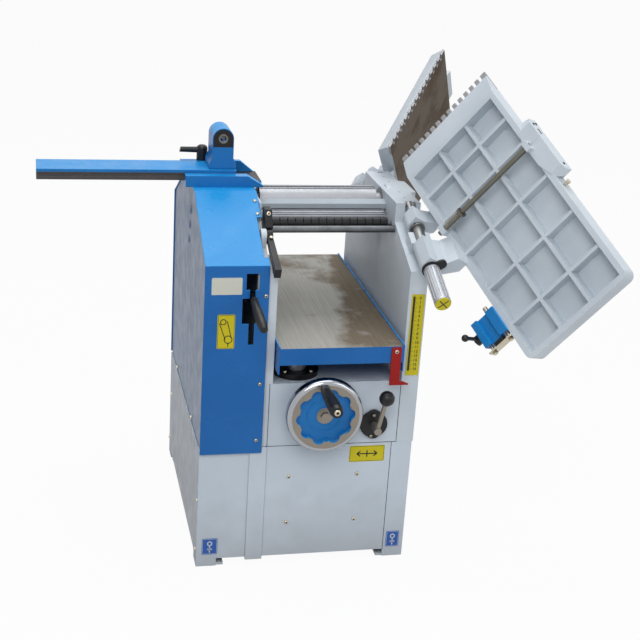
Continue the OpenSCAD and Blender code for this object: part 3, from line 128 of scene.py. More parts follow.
def sums(tree, operation, *values):
    return add(tree, "ShaderNodeMath", dict(enumerate(values)), operation=operation).outputs[0]


def relief(tree, height, depth_mm, strength, under=None):
    settings = {"Height": height, "Distance": depth_mm * MM, "Strength": strength}
    if under is not None:
        settings["Normal"] = under
    return add(tree, "ShaderNodeBump", settings).outputs[0]


def new_material(name):
    material = bpy.data.materials.new(name)
    material.use_nodes = True
    tree = material.node_tree
    spot = add(tree, "ShaderNodeTexCoord").outputs["Object"]
    return material, tree, spot


def coat(tree, colour, roughness, normal, gloss=0.5, metallic=0.0):
    shader = tree.nodes["Principled BSDF"]
    tree.links.new(colour, shader.inputs["Base Color"])
    tree.links.new(roughness, shader.inputs["Roughness"])
    tree.links.new(normal, shader.inputs["Normal"])
    shader.inputs["Specular IOR Level"].default_value = gloss
    shader.inputs["Metallic"].default_value = metallic


# %% [markdown]
# ## Enamel
# Sheet panels and castings are sprayed with enamel. On sheet it dries with a faint orange peel a few
# millimetres across; on a casting the rough skin of the sand mould shows through as coarser bumps.
# The colour drifts slowly over a panel, and handling leaves patches that are a little duller. Grains
# of sand that stuck to a casting stay under the paint as scattered small lumps. Dust soils the foot of
# a sheet. On blue enamel the faces that look up are painted a lighter, greener blue: painted light
# from the sky above, not a change in the paint.


# %% Enamel finishes
def enamel(name, colour, drift, roughness, grain_mm, grain_depth_mm, soil=None, lump_mm=0, painted_top_light=None):
    material, tree, spot = new_material(name)
    cloud = spread(tree, noise(tree, spot, 160, 4.0), 0.35, 0.7)
    paint = mixed(tree, cloud, linear(colour), linear(drift))
    if soil:
        height = add(tree, "ShaderNodeSeparateXYZ", {0: spot}).outputs[2]
        wander = sums(tree, "MULTIPLY", noise(tree, spot, 45, 6.0), 0.16)
        near_floor = spread(tree, sums(tree, "SUBTRACT", height, wander), 0.10, -0.08, 0.0, 0.55)
        paint = mixed(tree, near_floor, paint, linear(soil))
    # painted light: faces whose normal looks up are mixed towards a lighter, greener blue
    if painted_top_light:
        facing = add(tree, "ShaderNodeNewGeometry").outputs["Normal"]
        tilt = add(tree, "ShaderNodeSeparateXYZ", {0: facing}).outputs[2]
        paint = mixed(tree, spread(tree, tilt, 0.1, 0.6), paint, linear(painted_top_light))
    handled = noise(tree, spot, 38, 5.0)
    dull = spread(tree, handled, 0.3, 0.75, roughness * 0.8, roughness * 1.3)
    skin = relief(tree, noise(tree, spot, grain_mm, 3.0), grain_depth_mm, 0.6)
    if lump_mm:
        sand = add(tree, "ShaderNodeTexVoronoi", {"Vector": spot, "Scale": every(lump_mm)}).outputs[0]
        skin = relief(tree, spread(tree, sand, 0.14, 0.04), 0.5, 0.7, skin)
    coat(tree, paint, dull, skin, gloss=0.25)
    return material


sheet_enamel = enamel("grey_enamel_on_sheet", "#c8d2dc", "#c0cbd5", 0.36, 5, 0.10, "#a3a6aa")
panel_enamel = enamel("lilac_grey_enamel_on_sheet", "#6c7f99", "#657791", 0.4, 5, 0.10)
# painted shade: a darker grey for the faces of the lower left sheet that look left
shaded_side_enamel = enamel("grey_enamel_on_sheet_in_painted_shade", "#9da5ae", "#969ea7", 0.4, 5, 0.10, "#8f929b")
cast_enamel = enamel("light_grey_enamel_on_cast_iron", "#cbd3da", "#c0c9d1", 0.42, 3, 0.35, lump_mm=18)
beam_enamel = enamel("dull_grey_enamel_on_cast_iron", "#a9b2b9", "#9ea7ae", 0.5, 3, 0.35)
# both blue enamels carry painted top light on the faces that look up
blue_enamel = enamel("blue_enamel_on_sheet", "#1867af", "#155fa5", 0.3, 5, 0.10, painted_top_light="#1a8bcf")
blue_cast_enamel = enamel("blue_enamel_on_cast_iron", "#1a72b6", "#1668a9", 0.34, 3, 0.3,
                          painted_top_light="#1a8bcf")
black_enamel = enamel("black_enamel_on_iron", "#17171a", "#1f1f23", 0.38, 3, 0.25)
red_enamel = enamel("red_enamel_on_steel", "#a0120e", "#930f0c", 0.34, 5, 0.1)
motor_enamel = enamel("dark_grey_enamel_on_aluminium", "#5b646c", "#525a61", 0.45, 3, 0.2)
print("enamels made")

# %% [markdown]
# ## Bare metals
# The bed and the table tops are planed cast iron: fine lines from the planer run along the feed, and
# oil, damp and sap leave brown stains, more of them at the bed's right side and far end. Shafts are
# ground, so they are bright with faint scratches, and the rollers are dark with oil.


# %% Metal finishes
def planed_iron(name, colour, stain, stain_share, wet_side=0.0, wet_end=0.0, gloss=0.18, metallic=0.12):
    material, tree, spot = new_material(name)
    long_lines = (every(2.5), every(140), every(2.5))
    along = add(tree, "ShaderNodeMapping", {"Vector": spot, "Scale": long_lines}).outputs[0]
    lines = noise(tree, along, METRE, 3.0)
    patch = noise(tree, spot, 75, 6.0, 0.55)
    axes = add(tree, "ShaderNodeSeparateXYZ", {0: spot}).outputs
    slant = sums(tree, "MULTIPLY_ADD", axes[1], -0.2, axes[0])
    damp_side = spread(tree, slant, 0.095, 0.14, 0.0, wet_side)
    damp_end = spread(tree, axes[1], 0.0, 0.22, 0.0, wet_end)
    damp = sums(tree, "ADD", damp_side, damp_end)
    wet = spread(tree, sums(tree, "ADD", patch, damp), 0.62 - stain_share, 0.86 - stain_share)
    tint = mixed(tree, wet, linear(colour), linear(stain))
    fleck = spread(tree, lines, 0.3, 0.7, 0.82, 1.1)
    shade = mixed(tree, 1.0, tint, fleck, "MULTIPLY")
    dull = spread(tree, wet, 0.0, 1.0, 0.45, 0.68)
    coat(tree, shade, dull, relief(tree, lines, 0.06, 0.5), gloss, metallic)
    return material


def worked_steel(name, colour, drift, roughness, scratch_mm, metallic=1.0):
    material, tree, spot = new_material(name)
    tint = mixed(tree, noise(tree, spot, 35, 6.0), linear(colour), linear(drift))
    scratch = noise(tree, spot, scratch_mm, 4.0)
    dull = spread(tree, scratch, 0.3, 0.7, roughness * 0.7, roughness * 1.35)
    coat(tree, tint, dull, relief(tree, scratch, 0.03, 0.4), metallic=metallic)
    return material


bed_iron = planed_iron("planed_cast_iron_of_the_bed", "#a3a19a", "#74695a", -0.02, 0.42, 0.24)
table_iron = planed_iron("planed_cast_iron_of_the_tables", "#584a3a", "#4e4031", 0.14,
                         gloss=0.05, metallic=0.0)
ground_steel = worked_steel("ground_steel", "#9da0a5", "#8b8d91", 0.48, 2, 0.9)
shaft_steel = worked_steel("satin_shaft_steel", "#8f9091", "#7c7c7b", 0.36, 2, 0.9)
spring_steel = worked_steel("drawn_spring_steel", "#dcdad3", "#c6c3ba", 0.3, 2, 0.5)
roller_steel = worked_steel("oiled_roller_steel", "#8b8e93", "#77797e", 0.42, 2, 0.9)
scuffed_steel = worked_steel("scuffed_rod_steel", "#767a7e", "#404245", 0.38, 2, 0.9)
comb_steel = worked_steel("milled_steel_of_the_combs", "#a2a2a4", "#939395", 0.45, 3, 0.6)
rim_steel = worked_steel("turned_steel_of_the_rim", "#918a80", "#857e74", 0.4, 1.2, 0.7)
rod_steel = worked_steel("blued_rod_steel", "#77756a", "#5f5d54", 0.36, 2, 0.9)
rail_steel = worked_steel("planed_rail_steel", "#4d4a4a", "#403d3d", 0.5, 4, 0.5)
dark_steel = worked_steel("oiled_dark_steel", "#575553", "#454341", 0.36, 2)
chrome_steel = worked_steel("polished_chromed_steel", "#a9adb2", "#9a9da1", 0.14, 6)
zinc_steel = worked_steel("zinc_plated_steel", "#c9c3b4", "#b0a48c", 0.28, 2)
black_steel = worked_steel("blackened_screw_steel", "#2a2a2c", "#1d1d1f", 0.42, 2, 0.6)
knob_metal = worked_steel("bright_ribbed_aluminium", "#b4b7bc", "#a2a5aa", 0.46, 3, 0.6)
bronze_metal = worked_steel("cast_bronze", "#b08a4a", "#94713a", 0.4, 3)
print("metals made")

# %% [markdown]
# ## Plastics, rubber and print
# The grips and knobs are moulded black plastic with a fine satin skin. The small plates are printed
# sheet: yellow, blue or beige, each with a thin border.


# %% Plastic finishes
def moulded(name, colour, drift, roughness, skin_mm):
    material, tree, spot = new_material(name)
    skin = noise(tree, spot, skin_mm, 4.0)
    tint = mixed(tree, skin, linear(colour), linear(drift))
    worn = noise(tree, spot, 30, 4.0)
    dull = spread(tree, worn, 0.3, 0.7, roughness * 0.8, roughness * 1.3)
    coat(tree, tint, dull, relief(tree, skin, 0.05, 0.5), gloss=0.3)
    return material


black_plastic = moulded("moulded_black_plastic", "#141416", "#1d1d20", 0.34, 1.5)
pale_plastic = moulded("moulded_pale_grey_plastic", "#c9ccd0", "#bcbfc3", 0.4, 1.5)
yellow_print = moulded("yellow_printed_sheet", "#cdc018", "#c4b614", 0.4, 4)
blue_print = moulded("blue_printed_sheet", "#2f5fae", "#2955a0", 0.4, 4)
beige_print = moulded("pale_beige_printed_sheet", "#cfd0c4", "#c6c7bb", 0.4, 4)
black_print = moulded("black_print_on_sheet", "#17171a", "#202024", 0.45, 4)
seam_print = moulded("dark_gap_between_sheets", "#454b52", "#393e45", 0.7, 4)
belt_rubber = moulded("black_belt_rubber", "#1a1a1a", "#242424", 0.7, 2)
print("plastics made")

# %% [markdown]
# ## Rounded edges
# A casting or a folded sheet has no knife edges: the corners are a millimetre or two round, and they
# catch light. Each visible solid is copied, its flat faces are joined again, and its sharp edges get a
# small bevel. Some pieces have two finishes, such as paint beside planed iron. Painting by hand would
# work, but the shape itself tells them apart, so a small test on each face picks its finish. Where the
# border of a finish runs across a face, the copy is cut level there first.

# %% Helpers that round a solid and pick its finishes
SAME_PLANE = math.radians(0.5)
SHADED_ROUND = math.radians(38)
SHARP_EDGE = math.radians(40)
body_of = {n: body for body, names in frame["record"]["behaviour"]["bodies"].items() for n in names}


def show(piece_name, bm, materials, body):
    mesh = bpy.data.meshes.new(piece_name)
    bm.to_mesh(mesh)
    bm.free()
    for material in materials:
        mesh.materials.append(material)
    for face in mesh.polygons:
        face.use_smooth = True
    mesh.set_sharp_from_angle(angle=SHADED_ROUND)
    piece = bpy.data.objects.new(piece_name, mesh)
    bpy.context.scene.collection.objects.link(piece)
    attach(piece, body)
    return piece


def bevel(bm, edges, offset_mm, steps, **settings):
    bmesh.ops.bevel(bm, geom=edges, offset=offset_mm * MM, segments=steps, profile=0.5,
                    affect="EDGES", material=-1, **settings)


def rounded(name, materials, edge_mm, pick=None, steps=2, cut_mm=None, reshape=None):
    bm = bmesh.new()
    bm.from_mesh(nodes[name].data)
    bmesh.ops.remove_doubles(bm, verts=bm.verts[:], dist=0.01 * MM)
    bmesh.ops.dissolve_limit(bm, angle_limit=SAME_PLANE, verts=bm.verts[:], edges=bm.edges[:])
    if edge_mm:
        sharp = [e for e in bm.edges if len(e.link_faces) == 2 and e.calc_face_angle(0.0) > SHARP_EDGE]
        bevel(bm, sharp, edge_mm, steps, clamp_overlap=True)
    if reshape:
        reshape(bm)
    if cut_mm:
        bmesh.ops.bisect_plane(bm, geom=bm.verts[:] + bm.edges[:] + bm.faces[:],
                               plane_co=(0, 0, cut_mm * MM), plane_no=(0, 0, 1))
    for face in bm.faces:
        face.material_index = pick(face) if pick else 0
    piece = show(name + "_finish", bm, materials, body_of[name])
    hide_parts(name)
    flat = piece.modifiers.new("even_flats", "WEIGHTED_NORMAL")
    flat.keep_sharp = True


print("nodes of the frame:", len(nodes))

# %% [markdown]
# ## Sheet, castings and forgings
# The base and the drive cover are folded sheet, the side plates and the fence are castings, and the
# clamps are black forgings. Each gets a bevel of the size that its making leaves.

# %% Finish the painted solids
painted = {
    "base_front_panel": (sheet_enamel, 0.8),
    "base_left_post": (sheet_enamel, 1.0),
    "base_right_panel": (sheet_enamel, 1.0),
    "rear_panel": (sheet_enamel, 1.0),
    "front_wall": (sheet_enamel, 2.0),
    "deck": (cast_enamel, 1.0),
    "column_flanges": (black_enamel, 0.8),
    "side_plate_right": (cast_enamel, 1.6),
    "side_plate_left": (cast_enamel, 1.6),
    "cross_beams": (beam_enamel, 0.8),
    "drive_cover": (blue_enamel, 1.0),
    "shoulder_clamps": (black_enamel, 1.0),
    "feed_flange": (black_plastic, 0.8),
    "pointer": (red_enamel, 0.5),
    "belt_lever": (black_steel, 0.6),
    "guard_bracket": (blue_cast_enamel, 1.2),
    "knob_flange": (black_plastic, 0.8),
}
for name, (material, edge_mm) in painted.items():
    rounded(name, [material], edge_mm)
print("painted solids:", len(painted))

# %% [markdown]
# ## The clamp levers
# The lever of a shoulder clamp is a square bar that is forged stouter than its hub. The part of the
# copy that lies beyond the hub is scaled across the bar, in a space that lies along it, so the bar
# stays straight.

# %% Stout bars of the clamp levers
HUB_REACH = 14
STOUTER = (1.2, 1, 1.6)


def space_along(root, along, lift):
    return Matrix((Vector((1, 0, 0)), along, lift)).to_4x4() @ Matrix.Translation(-root)


def stout_bar(way):
    hub = Vector((-95.6, way * 201, 724.14)) * MM
    along = Vector((0, way * 0.92, -0.39)).normalized()
    lift = Vector((0, way * 0.39, 0.92)).normalized()

    def reshape(bm):
        bar = [v for v in bm.verts if (v.co - hub).dot(along) > HUB_REACH * MM]
        bmesh.ops.scale(bm, vec=STOUTER, space=space_along(hub, along, lift), verts=bar)
    return reshape


for side, way in (("front", -1), ("rear", 1)):
    rounded(side + "_clamp_lever", [black_enamel], 1.2, reshape=stout_bar(way))
print("clamp levers: 2")

# %% [markdown]
# ## The left side
# The upper sheet of the left side has a duller coat than the front. The lower sheet's faces that look
# left are painted a darker grey than its front: painted shade. The upper one has three drop shaped
# openings, and the sheet behind them is blue, so their edges are blue too.


# %% Sheets of the left side
# faces that look left take the darker grey of painted shade
def faces_left(face):
    return 1 if face.normal.x < -0.7 else 0


def drop_edge(face):
    spot = face.calc_center_median() / MM
    near_drops = abs(spot.y) < 30 and spot.z > 640
    return 1 if abs(face.normal.x) < 0.5 and near_drops else 0


rounded("base_left_panel", [sheet_enamel, shaded_side_enamel], 1.0, faces_left)
rounded("cover_side_panel", [panel_enamel, blue_enamel], 0.5, drop_edge)
print("left side made")

# %% [markdown]
# ## The thicknessing bed
# The bed is a blue casting. Only its top is planed, and two narrow strips at its sides keep their
# paint. The top is told from the rest by its height and by where it faces.

# %% Bed with its planed top
BED_TOP = 521


def bed_face(face):
    level = face.calc_center_median().z / MM
    return 1 if face.normal.z > 0.7 and abs(level - BED_TOP) < 0.6 else 0


rounded("thickness_table", [blue_enamel, bed_iron], 1.2, bed_face)
print("bed made")

# %% [markdown]
# ## The handwheel
# The handwheel is cast iron: the dish is painted blue, the rim is turned and polished, and the hub is
# faced. The distance of a face from the wheel's centre says which of them it is. The solid is already
# round, so it gets no bevel.

# %% Handwheel with a bright rim
WHEEL_X = 22
WHEEL_Z = 374.5
WHEEL_FACE_Y = -343.2
RIM_RADIUS = 72.5
DISH_RADIUS = 50
HUB_RADIUS = 18


def wheel_part(face):
    reach = [math.hypot(v.co.x / MM - WHEEL_X, v.co.z / MM - WHEEL_Z) for v in face.verts]
    radius = sum(reach) / len(reach)
    if radius > RIM_RADIUS:
        return 2
    faced_rim = radius > DISH_RADIUS and face.calc_center_median().y / MM < WHEEL_FACE_Y
    return 1 if faced_rim or radius < HUB_RADIUS else 0


rounded("handwheel", [blue_cast_enamel, rim_steel, chrome_steel], 0, wheel_part)
print("handwheel made")

# %% [markdown]
# ## The planing tables
# Each table is a ribbed casting, painted below and planed on top, with a milled steel comb at the
# cutter. The tables hang open, so a face is first turned back to the closed table, where the top is
# simply the highest plane. Both tables turn about an inclined shaft, and the far table mirrors the
# near one. The edge of the casting and the ends of the slots are drawn back by 8 mm, so that the teeth
# of the comb stand free.

# %% Tables and combs
HINGE = Vector((229, -150, 757.105)) * MM
SLOPE = math.radians(23)
OPENING = math.radians(121)
TABLE_TOP = 780
TABLE_EDGE_Y = -33.6
SLOT_END_Y = -35.6
TEETH_FREE = 8
shaft_way = Vector((0, math.cos(SLOPE), math.sin(SLOPE)))
swing = Matrix.Rotation(OPENING, 4, shaft_way)
opened = Matrix.Translation(HINGE) @ swing @ Matrix.Translation(-HINGE)
mirrored = Matrix.Diagonal((1, -1, 1, 1))
tables = (("infeed", opened), ("outfeed", mirrored @ opened))


def top_of(table):
    back = table.inverted()

    def pick(face):
        level = (back @ face.calc_center_median()).z / MM
        return 1 if level > TABLE_TOP - 0.4 else 0
    return pick


def drawn_back(table, near_mm, far_mm):
    back = table.inverted()
    step = table.to_3x3() @ Vector((0, -TEETH_FREE * MM, 0))

    def reshape(bm):
        edge = [v for v in bm.verts if far_mm < (back @ v.co).y / MM < near_mm]
        bmesh.ops.translate(bm, vec=step, verts=edge)
    return reshape


for side, table in tables:
    rounded(side + "_table", [cast_enamel, table_iron], 2.0, top_of(table), steps=3,
            reshape=drawn_back(table, 0, TABLE_EDGE_Y))
    rounded(side + "_lip", [comb_steel, table_iron], 0.4, top_of(table),
            reshape=drawn_back(table, TABLE_EDGE_Y, SLOT_END_Y))
print("tables made")

# %% [markdown]
# ## The fence
# The fence rail is a long bar with a groove along each side. Its upper part is blue, and below a
# straight edge the bar is dark grey. The floor of its bracket is painted black as painted shade, for
# the shade between its walls. Around the eye of the upright the front face is painted black down to a
# straight edge, as painted shade for the dark bore.

# %% Fence rail, bracket and upright
RAIL_PAINT_EDGE = 814.0
BRACKET_FLOOR = 800
EYE = Vector((-165, -27, 886))
EYE_SHADE_EDGE = EYE.z - 18


# below a straight edge the rail is dark grey
def bare_rail(face):
    return 1 if face.calc_center_median().z / MM < RAIL_PAINT_EDGE else 0


# painted shade: the floor between the bracket walls is black
def bracket_floor(face):
    return 1 if face.normal.z > 0.9 and face.calc_center_median().z / MM < BRACKET_FLOOR else 0


# painted shade: the front face round the eye is black above a straight edge
def eye_face(face):
    return 1 if face.normal.y < -0.95 and face.calc_center_median().z / MM > EYE_SHADE_EDGE else 0


rounded("fence_rail", [blue_cast_enamel, rail_steel], 0.8, bare_rail, cut_mm=RAIL_PAINT_EDGE)
rounded("fence_bracket", [blue_cast_enamel, black_enamel], 1.2, bracket_floor)
rounded("fence_upright", [blue_cast_enamel, black_enamel], 1.6, eye_face, cut_mm=EYE_SHADE_EDGE)
print("fence made")

# %% [markdown]
# ## Fingers, grip and fence lever
# The kickback fingers hang on a rod in front of the roller. Each has a raised back and nearly touches
# the next one, so the upper half of the row is stretched and each finger is widened about its own
# middle. The grip of the belt lever is a long tapered handle that leans to the right: a shear does
# both at once. The fence lever has a tall hub and a level arm, so the arm is lifted with the top of
# the hub and then sheared level.

# %% Kickback fingers, belt grip and fence lever
FINGERS = 16
FINGER_PITCH = 17
FIRST_FINGER_X = -77.5
FINGER_ROD_Z = 724
GRIP_LEAN = 0.12
GRIP_STRETCH = 1.35
LEVER_HUB_SIDE_X = -211
LEVER_HUB_FOOT_Z = 825
LEVER_HUB_RISE = 7
LEVER_ARM_SLOPE = 0.249


def raised_backs(bm):
    upper = [v for v in bm.verts if v.co.z > (FINGER_ROD_Z + 1) * MM]
    rod_level = Matrix.Translation((0, 0, -FINGER_ROD_Z * MM))
    bmesh.ops.scale(bm, vec=(1, 1, 1.25), space=rod_level, verts=upper)
    for number in range(FINGERS):
        middle = (FINGER_PITCH * number + FIRST_FINGER_X) * MM
        finger = [v for v in bm.verts if abs(v.co.x - middle) < 8 * MM]
        bmesh.ops.scale(bm, vec=(1.22, 1, 1), space=Matrix.Translation((-middle, 0, 0)), verts=finger)


def long_grip(bm):
    root = Vector((-134.2, -312, 618)) * MM
    along = Vector((0, -0.93, -0.36)).normalized()
    lift = Vector((0, -0.36, 0.93)).normalized()
    lean = Matrix(((1, GRIP_LEAN, 0), (0, GRIP_STRETCH, 0), (0, 0, 1))).to_4x4()
    bmesh.ops.transform(bm, matrix=lean, space=space_along(root, along, lift), verts=bm.verts[:])


def level_arm(bm):
    upper = [v for v in bm.verts if v.co.z > LEVER_HUB_FOOT_Z * MM]
    bmesh.ops.translate(bm, vec=(0, 0, LEVER_HUB_RISE * MM), verts=upper)
    arm = [v for v in bm.verts if v.co.x < LEVER_HUB_SIDE_X * MM]
    level = Matrix(((1, 0, 0), (0, 1, 0), (LEVER_ARM_SLOPE, 0, 1))).to_4x4()
    hub_side = Matrix.Translation((-LEVER_HUB_SIDE_X * MM, 0, 0))
    bmesh.ops.transform(bm, matrix=level, space=hub_side, verts=arm)


rounded("kickback_fingers", [black_enamel], 0.4, reshape=raised_backs)
rounded("fence_lever", [black_plastic], 0, reshape=level_arm)
rounded("belt_grip", [black_plastic], 0, reshape=long_grip)
print("fingers, grip and fence lever made")

# %% [markdown]
# ## The other solids
# Turned pieces and hidden pieces keep their solids, and only take a finish.

# %% Finish the turned and hidden solids
plain_finishes = {
    ground_steel: ["cutter_bearings", "cutterhead", "cutter_knives", "outfeed_roller", "lift_columns"],
    roller_steel: ["infeed_roller"],
    rim_steel: ["handwheel_shaft", "feed_lever"],
    shaft_steel: ["infeed_shaft", "outfeed_shaft"],
    rod_steel: ["infeed_rod", "outfeed_rod"],
    scuffed_steel: ["cross_rods"],
    dark_steel: ["feed_chain", "cutter_pulley", "motor_pulley"],
    cast_enamel: ["lift_gearbox"],
    motor_enamel: ["motor"],
    belt_rubber: ["drive_belt"],
    bronze_metal: ["lift_nut"],
    black_plastic: ["wheel_grip", "feed_knob", "guard_lever"],
    knob_metal: ["adjust_knob"],
    yellow_print: ["scale_plate", "knob_cap"],
}
for material, names in plain_finishes.items():
    for name in names:
        nodes[name].data.materials.clear()
        nodes[name].data.materials.append(material)
print("solids with a finish:", sum(len(names) for names in plain_finishes.values()))

# %% [markdown]
# ## Small parts and where they sit
# Screws, plates and marks are too small for the frame. Each is made lying at the origin, with its foot
# at height zero and its face upwards, and is then put on the surface that carries it. Place matrices
# are built from a spot in millimetres, the way the surface faces, and the way that is up on it.

# %% Helpers for small parts
FRONT = (0, -1, 0)
LEFT = (-1, 0, 0)
RIGHT = (1, 0, 0)
UP = (0, 0, 1)
BACKWARD = (0, 1, 0)
BASE_FRONT = -286
COVER_FRONT = -294
FLANGE_FRONT = -295
SIDE_SHEET = -232


def placed(spot_mm, out, up=UP):
    z = Vector(out).normalized()
    x = Vector(up).cross(z).normalized()
    turn = Matrix((x, z.cross(x), z)).transposed().to_4x4()
    return Matrix.Translation(Vector(spot_mm) * MM) @ turn


def moved(part, matrix):
    part.transform(matrix)
    if matrix.determinant() < 0:
        bmesh.ops.reverse_faces(part, faces=part.faces[:])
    return part


def gather(target, part, matrix):
    moved(part, matrix)
    carrier = bpy.data.meshes.new("carrier")
    part.to_mesh(carrier)
    part.free()
    target.from_mesh(carrier)
    bpy.data.meshes.remove(carrier)


def turned(profile_mm, steps):
    bm = bmesh.new()
    points = [bm.verts.new((radius * MM, 0, height * MM)) for radius, height in profile_mm]
    lines = [bm.edges.new(pair) for pair in zip(points, points[1:])]
    bmesh.ops.spin(bm, geom=points + lines, axis=UP, cent=(0, 0, 0), angle=math.tau, steps=steps,
                   use_merge=True)
    bmesh.ops.remove_doubles(bm, verts=bm.verts[:], dist=0.001 * MM)
    bmesh.ops.recalc_face_normals(bm, faces=bm.faces[:])
    return bm


def block(length, width, height):
    bm = bmesh.new()
    bmesh.ops.create_cube(bm, size=1.0, matrix=Matrix.Diagonal((length * MM, width * MM, height * MM, 1)))
    upright = [e for e in bm.edges if abs(e.verts[0].co.z - e.verts[1].co.z) > height / 2 * MM]
    return bm, upright


print("small part helpers ready")

# %% [markdown]
# ## Socket screws
# Panels and brackets are held by button head screws with a hexagon socket. The head is turned, the
# socket is a six sided hole. The head's profile is spun, its open top is bridged to a hexagon, and the
# hexagon goes down. The walls and floor of the hole are painted black as painted shade.


# %% Socket screw
def socket_screw(head, rise):
    bm = turned([(0, -0.4), (head * 0.5, -0.4), (head * 0.5, rise * 0.35), (head * 0.44, rise * 0.72),
                 (head * 0.3, rise)], 20)
    rim = [e for e in bm.edges if e.is_boundary]
    hexagon = bmesh.ops.create_circle(bm, segments=6, radius=head * 0.24 * MM,
                                      matrix=Matrix.Translation((0, 0, rise * MM)))
    ring = list(dict.fromkeys(e for v in hexagon["verts"] for e in v.link_edges))
    bmesh.ops.bridge_loops(bm, edges=rim + ring)
    sunk = bmesh.ops.extrude_edge_only(bm, edges=ring)["geom"]
    deep = [g for g in sunk if isinstance(g, bmesh.types.BMVert)]
    bmesh.ops.translate(bm, vec=(0, 0, -rise * 0.7 * MM), verts=deep)
    bmesh.ops.contextual_create(bm, geom=[e for e in bm.edges if e.is_boundary])
    bmesh.ops.recalc_face_normals(bm, faces=bm.faces[:])
    # painted shade: faces of the socket hole take the black second finish
    for face in bm.faces:
        spot = face.calc_center_median() / MM
        shaded_socket = math.hypot(spot.x, spot.y) < head * 0.23 and 0 < spot.z < rise * 0.9
        face.material_index = 1 if shaded_socket else 0
    return bm


def screws(piece_name, body, metal, places):
    bm = bmesh.new()
    for head, rise, matrix in places:
        gather(bm, socket_screw(head, rise), matrix)
    show(piece_name, bm, [metal, black_print], body)
    return len(places)


# %% [markdown]
# ## Screws of the base, the cover and the flanges
# The sheets of the base and the cover are held by bright screws, which sit on the holes or along the
# edges. Each place is a head width, a height and a place matrix.

# %% Screws on the standing parts
slope_out = (0, -0.4436, 0.8962)
side_spots = ((154, 286), (-137, 289), (256, 170), (274, 43), (-276, 158), (-273, 38))
cover_spots = ((-107, 626), (-111, 432.5), (-113.5, 304))
slope_spots = ((-108.1, -120.4, 775.9), (-107.5, -156.6, 758))
panel_places = [(9, 3, placed((x, BASE_FRONT, z), FRONT)) for x in (-37, 114) for z in (99, 210)]
side_places = [(8, 3, placed((SIDE_SHEET, y, z), LEFT)) for y, z in side_spots]
cover_places = [(8, 3, placed((x, COVER_FRONT, z), FRONT)) for x, z in cover_spots]
slope_places = [(8, 3, placed(spot, slope_out)) for spot in slope_spots]
flange_places = [(7, 3, placed((x, FLANGE_FRONT, z), FRONT)) for x, z in ((139.5, 352), (136, 304))]
for x, y in ((-23, -224), (123, 224)):
    for corner in (45, 135, 225, 315):
        turn = math.radians(corner)
        spot = (x + 40 * math.cos(turn), y + 40 * math.sin(turn), 440)
        flange_places.append((9, 4, placed(spot, UP, BACKWARD)))
clamp_places = [(10, 3, placed((-88.3, way * 179.5, 765), (0, way * 0.916, 0.4))) for way in (-1, 1)]
count = screws("clamp_block_screws", "frame", zinc_steel, clamp_places)
count += screws("panel_screws", "frame", zinc_steel, panel_places + side_places)
count += screws("cover_screws", "frame", zinc_steel, cover_places + slope_places + flange_places)
print("screws on the standing parts:", count)

# %% [markdown]
# ## Drops on the side of the cover
# The three openings of the side panel show the blue sheet behind them. At this flat angle a sunk sheet
# would be hidden, so each is closed by a blue drop level with the panel. A drop is a circle whose upper
# half is drawn to a point.

# %% Three blue drops
DROP_RADIUS = 5.4
DROP_POINT = 10
for number in range(3):
    drop = bmesh.new()
    bmesh.ops.create_circle(drop, cap_ends=True, segments=28, radius=DROP_RADIUS * MM)
    for corner in drop.verts:
        height = max(corner.co.y / (DROP_RADIUS * MM), 0)
        corner.co.y += DROP_POINT * MM * height ** 3
    bmesh.ops.solidify(drop, geom=drop.faces[:], thickness=0.8 * MM)
    bmesh.ops.recalc_face_normals(drop, faces=drop.faces[:])
    spot = (SIDE_SHEET - 0.2, -14.5 + 8.5 * number, 722 - 35 * number)
    show("blue_drop_%d" % (number + 1), moved(drop, placed(spot, LEFT)), [blue_enamel], "frame")
print("drops: 3")

# %% [markdown]
# ## Plates
# The cover and the base carry small plates of printed sheet. A plate is a flat rectangle whose corners
# are rounded, lifted by its thickness, with an inset line as its border. The beige plate is bare. The
# others have plain marks: a double arrow beside the feed lever, a belt round two pulleys on the cover,
# and a ring with two bars at the corners of the base.


# %% Plates with a border
def plate(width, height, border):
    bm = bmesh.new()
    bmesh.ops.create_grid(bm, x_segments=1, y_segments=1, size=0.5 * MM)
    bmesh.ops.scale(bm, vec=(width, height, 1), verts=bm.verts[:])
    bmesh.ops.bevel(bm, geom=bm.verts[:], offset=2.5 * MM, offset_type="OFFSET", segments=4, profile=0.5,
                    affect="VERTICES", material=-1)
    bmesh.ops.solidify(bm, geom=bm.faces[:], thickness=0.5 * MM)
    bmesh.ops.recalc_face_normals(bm, faces=bm.faces[:])
    low = min(v.co.z for v in bm.verts)
    bmesh.ops.translate(bm, vec=(0, 0, -low), verts=bm.verts[:])
    top = [f for f in bm.faces if f.normal.z > 0.9]
    bmesh.ops.inset_region(bm, faces=top, thickness=1.2 * MM, use_even_offset=True)
    top = [f for f in bm.faces if f.normal.z > 0.9 and f.calc_area() > 0.5 * width * height * MM * MM]
    line = bmesh.ops.inset_region(bm, faces=top, thickness=border * MM, use_even_offset=True)["faces"]
    for face in line:
        face.material_index = 1
    return bm


def flat_bar(length, width, turn=0, spot=(0, 0)):
    bm, upright = block(length, width, 0.16)
    bevel(bm, upright, width * 0.2, 2)
    lifted = Matrix.Translation((spot[0] * MM, spot[1] * MM, 0.56 * MM))
    bm.transform(lifted @ Matrix.Rotation(math.radians(turn), 4, "Z"))
    return bm


def flat_ring(radius, width, spot, steps=28):
    inner = radius - width / 2
    outer = radius + width / 2
    bm = turned([(inner, 0.5), (inner, 0.64), (outer, 0.64), (outer, 0.5), (inner, 0.5)], steps)
    bmesh.ops.translate(bm, vec=(spot[0] * MM, spot[1] * MM, 0), verts=bm.verts[:])
    return bm


